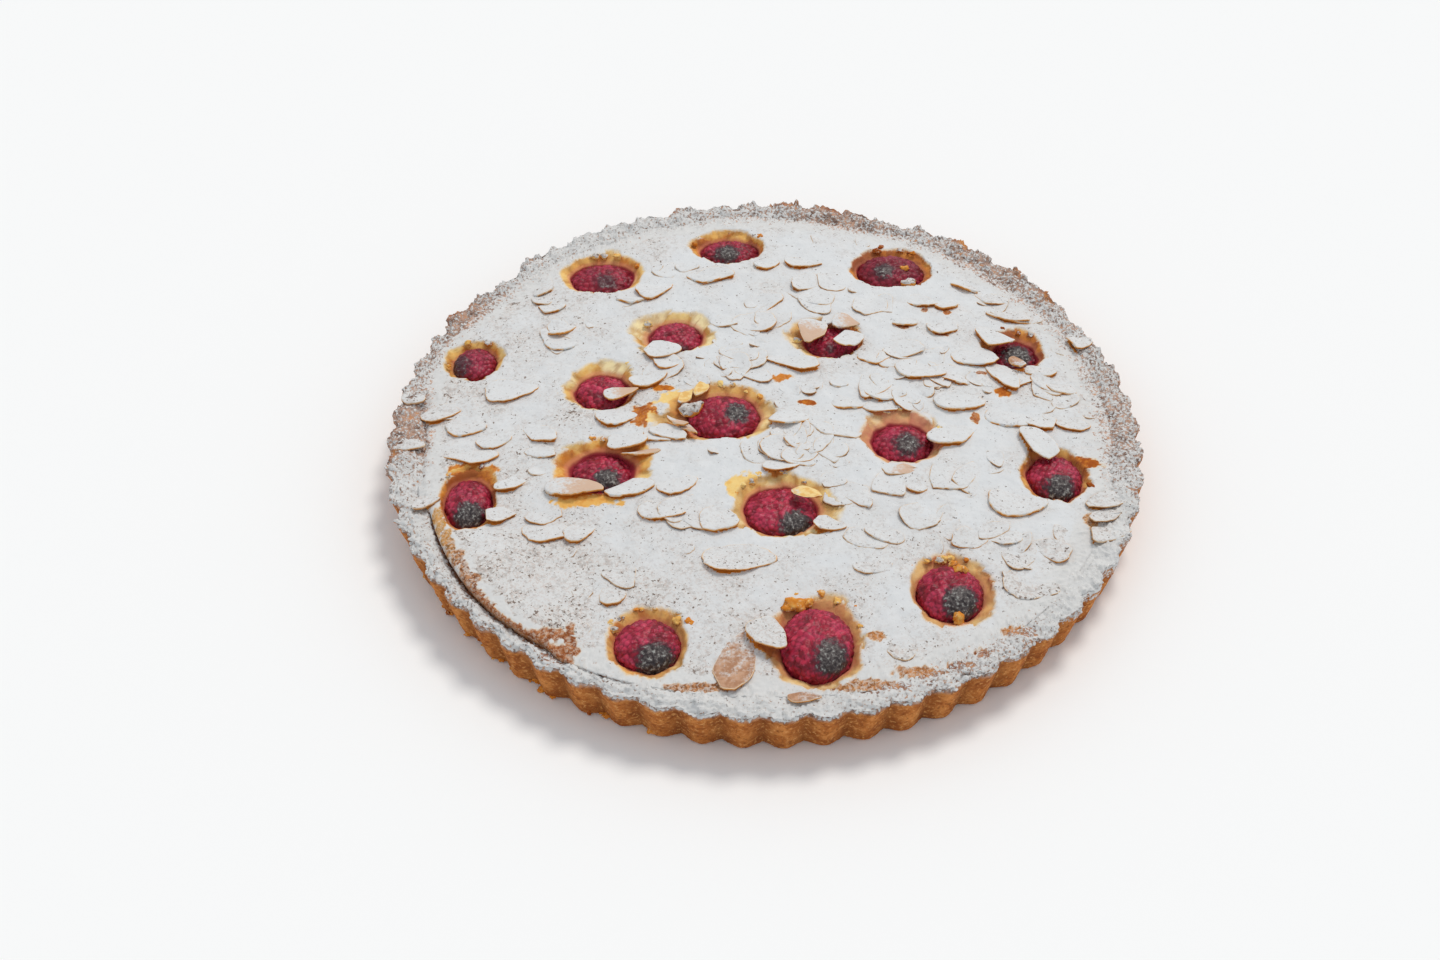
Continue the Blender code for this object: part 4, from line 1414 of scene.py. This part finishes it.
def lay_flake(heap, middle, size, turn, rise, towards, look, draw, berries):
    """Adds a flake with one side under the sugar, whose side facing the bearing towards stands up by rise."""
    thickness = draw.uniform(*FLAKE_THICKNESS)
    points, faces, skin = flake_body(*size, thickness, draw)
    place = flake_place(middle, size, thickness, turn, rise, towards)
    placed = points @ place[:3, :3].T + place[:3, 3]
    placed[:, 2] += clearance(placed, berries)
    heap.undersides.append(placed[FLAKE_LOWER_RING * FLAKE_SIDES:(FLAKE_LOWER_RING + 1) * FLAKE_SIDES])
    bare = draw.uniform(-0.35, 0.0)
    if look != WHITE:
        bare, more = BARENESS[look]
        bare = bare + more * points[:, 0] / size[0]
    at_front = float(smooth(-middle.y, *FRONT))
    at_edge = float(smooth(math.hypot(middle.x, middle.y), 90 * MM, 120 * MM))
    # The higher a flake stands up, the more painted light its edge gets.
    heap.add(placed, faces, skin=skin * draw.uniform(0.8, 1.0), bare=bare, stain=float(look == PINK),
             thin=0.15 + 0.35 * at_front + 0.3 * at_edge, toasted=float(look == TAN),
             warm=float(smooth(rise, 0.5 * MM, 1.4 * MM)))


def scattered_spots(count, lengths, draw, berries):
    """Places and lengths of flakes, thickest where they drifted, clear of pits and bare patches."""
    patches = [(on_top(row[:2]), row[2] * MM) for row in BARE_PATCHES]
    patches += [(on_top(row[:2]), 0.7 * row[2] * MM) for row in FLAKES if row[2] > LARGE_FLAKE]
    spots = []
    while len(spots) < count:
        radius = SCATTER_RADIUS * math.sqrt(draw.random())
        bearing = 2 * math.pi * draw.random()
        x, y = radius * math.cos(bearing), radius * math.sin(bearing)
        density = max(math.exp(-((x - drift_x) ** 2 + (y - drift_y) ** 2) / reach ** 2)
                      for drift_x, drift_y, reach in FLAKE_DRIFTS)
        length = draw.uniform(*lengths)
        in_pit = any(berry_share(x, y, *berry, 0.40 * length + PIT_CLEAR) < 1 for berry in berries)
        on_patch = any(math.hypot(x - patch.x, y - patch.y) < 0.4 * length + 0.6 * half_width
                       for patch, half_width in patches)
        if draw.random() < SCATTER_LEAST + (1 - SCATTER_LEAST) * density and not in_pit and not on_patch:
            spots.append((x, y, length))
    return spots


def make_flakes(berries, cad_box):
    """All the flakes in one piece. Returns the undersides, for the filling below them."""
    heap = Heap(("skin", "bare", "thin", "stain", "toasted", "warm"))
    draw = random.Random(SCATTER_SEED)
    for px, py, length, width, turn, rise, *look in FLAKES:
        towards = TO_CAMERA + draw.uniform(-FLAKE_SWING, FLAKE_SWING)
        lay_flake(heap, on_top((px, py)), (length * MM, width * MM), turn, RISE_STEP * rise,
                  towards, look[0] if look else WHITE, draw, berries)
    for count, lengths, rises in SCATTERED:
        for x, y, length in scattered_spots(count, lengths, draw, berries):
            size = (length, length * draw.uniform(*SCATTER_WIDTH))
            turn = 360 * draw.random()
            rise = draw.uniform(*rises)
            towards = TO_CAMERA + draw.uniform(-SCATTER_SWING, SCATTER_SWING)
            lay_flake(heap, Vector((x, y, ground(x, y))), size, turn, rise, towards, WHITE, draw, berries)
    piece = heap.piece("almond_flakes", flake_material(), cad_box)
    return heap.undersides


# Crumbs

def crumb_body(radius, draw):
    """Points and faces of an uneven crumb at the origin."""
    bm = bmesh.new()
    bmesh.ops.create_icosphere(bm, subdivisions=3, radius=radius)
    points = np.array([v.co for v in bm.verts])
    faces = [tuple(v.index for v in face.verts) for face in bm.faces]
    bm.free()
    rough = roughness(points + draw.uniform(0, 50), 1.1 * radius, 3)
    flatter = (draw.uniform(0.8, 1.2), draw.uniform(0.7, 1), draw.uniform(0.6, 0.9))
    return points * (1 + 0.7 * rough)[:, None] * flatter, faces


def marked_crumbs(heap, draw, berries):
    """The crumbs that stand out, on the sugar or on a raspberry."""
    for px, py, radius, look in CRUMBS:
        points, faces = crumb_body(radius * MM, draw)
        place = on_top((px, py))
        for middle, half in berries:
            if berry_share(place.x, place.y, middle, half) < 1:
                place = Vector(on_berry((px, py), middle, half)) + middle
        tone = TAN_CRUMB_TONE if look == TAN else CRUMB_TONE
        heap.add(points + np.array(place), faces, sugared=float(look == WHITE), tone=tone)


def pit_crumbs(heap, draw, berries):
    """Crumbs along the edge of each pit, most of them at the back."""
    for (middle, half), (left, right, back, _, tone, _, count) in zip(berries, PITS):
        for _ in range(count):
            turn = math.radians(draw.gauss(*PIT_CRUMB_BEARINGS))
            radius = draw.uniform(*PIT_CRUMB_SIZES) * MM
            beyond = (back if math.sin(turn) > 0.5 else min(left, right)) * draw.uniform(0.35, 1.0) * MM
            x = middle.x + (half.x + beyond) * math.cos(turn)
            y = middle.y + (half.y + beyond) * math.sin(turn)
            points, faces = crumb_body(radius, draw)
            place = (x, y, height_at(x, y) - draw.uniform(0.2, 1.0) * MM)
            sugared = draw.uniform(0.0, 0.9)
            heap.add(points + place, faces, sugared=sugared, tone=tone + draw.uniform(-0.1, 0.3))


def foot_crumbs(heap, draw):
    """Crumbs along the foot of the wall, most of them at the front left."""
    for _ in range(FOOT_CRUMBS):
        bearing = draw.gauss(*FOOT_CRUMB_BEARINGS)
        radius = draw.uniform(*FOOT_CRUMB_SIZES) * MM
        points, faces = crumb_body(radius, draw)
        place = at_bearings(bearing, wall_radius(bearing, 0.0) + 0.4 * MM, 0.0)
        place[2] = radius * draw.uniform(0.7, 1.5) + 0.3 * MM
        points = points + place
        points[:, 2] = np.maximum(points[:, 2], 0)
        heap.add(points, faces, sugared=0.0, tone=draw.uniform(0.6, 0.95))


def make_crumbs(berries, cad_box):
    heap = Heap(("sugared", "tone"))
    draw = random.Random(CRUMB_SEED)
    marked_crumbs(heap, draw, berries)
    pit_crumbs(heap, draw, berries)
    foot_crumbs(heap, draw)
    piece = heap.piece("loose_crumbs", crumb_material(), cad_box)


# Stage

def make_floor():
    bm = bmesh.new()
    bmesh.ops.create_grid(bm, x_segments=1, y_segments=1, size=FLOOR_SIZE)
    mesh = bpy.data.meshes.new("floor")
    bm.to_mesh(mesh)
    bm.free()
    shader = Shader("floor", 0.9, 0.1)
    shader.surface.inputs["Base Color"].default_value = paint(*FLOOR_COLOUR)
    mesh.materials.append(shader.material)
    floor = placed_object("floor", mesh)


def make_light():
    """Soft cool light from all round and a warmer one from the back right."""
    world = bpy.data.worlds.new("studio")
    world.use_nodes = True
    background = world.node_tree.nodes["Background"]
    background.inputs["Color"].default_value = (*SKY_COLOUR, 1.0)
    background.inputs["Strength"].default_value = SKY_STRENGTH
    bpy.context.scene.world = world
    light = bpy.data.lights.new("window_light", "SUN")
    light.energy = WINDOW_STRENGTH
    light.angle = WINDOW_WIDTH
    light.color = WINDOW_COLOUR
    lamp = placed_object("window_light", light)
    lamp.rotation_euler = WINDOW_FROM.to_track_quat("Z", "Y").to_euler()


def make_camera():
    data = bpy.data.cameras.new("camera")
    data.sensor_width = SENSOR_WIDTH
    data.lens = LENS
    camera = placed_object("camera", data)
    camera.location = sight_line((PHOTO_SIZE[0] / 2, PHOTO_SIZE[1] / 2))[0]
    camera.rotation_euler = (math.radians(90) - CAMERA_ELEVATION, 0, 0)
    bpy.context.scene.camera = camera
    bpy.context.scene.view_settings.view_transform = "Standard"


def main():
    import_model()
    cad_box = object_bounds()
    boxes = [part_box(f"berry_{number:02d}") for number in range(1, len(PITS) + 1)]
    berries = [middle_and_half(low, high) for low, high in boxes]
    make_floor()
    make_light()
    make_camera()
    make_crust(cad_box)
    undersides = make_flakes(berries, cad_box)
    make_filling(berries, undersides)
    material = berry_material()
    for number, (low, high) in enumerate(boxes, start=1):
        make_berry(number, low, high, material)
    make_crumbs(berries, cad_box)


main()
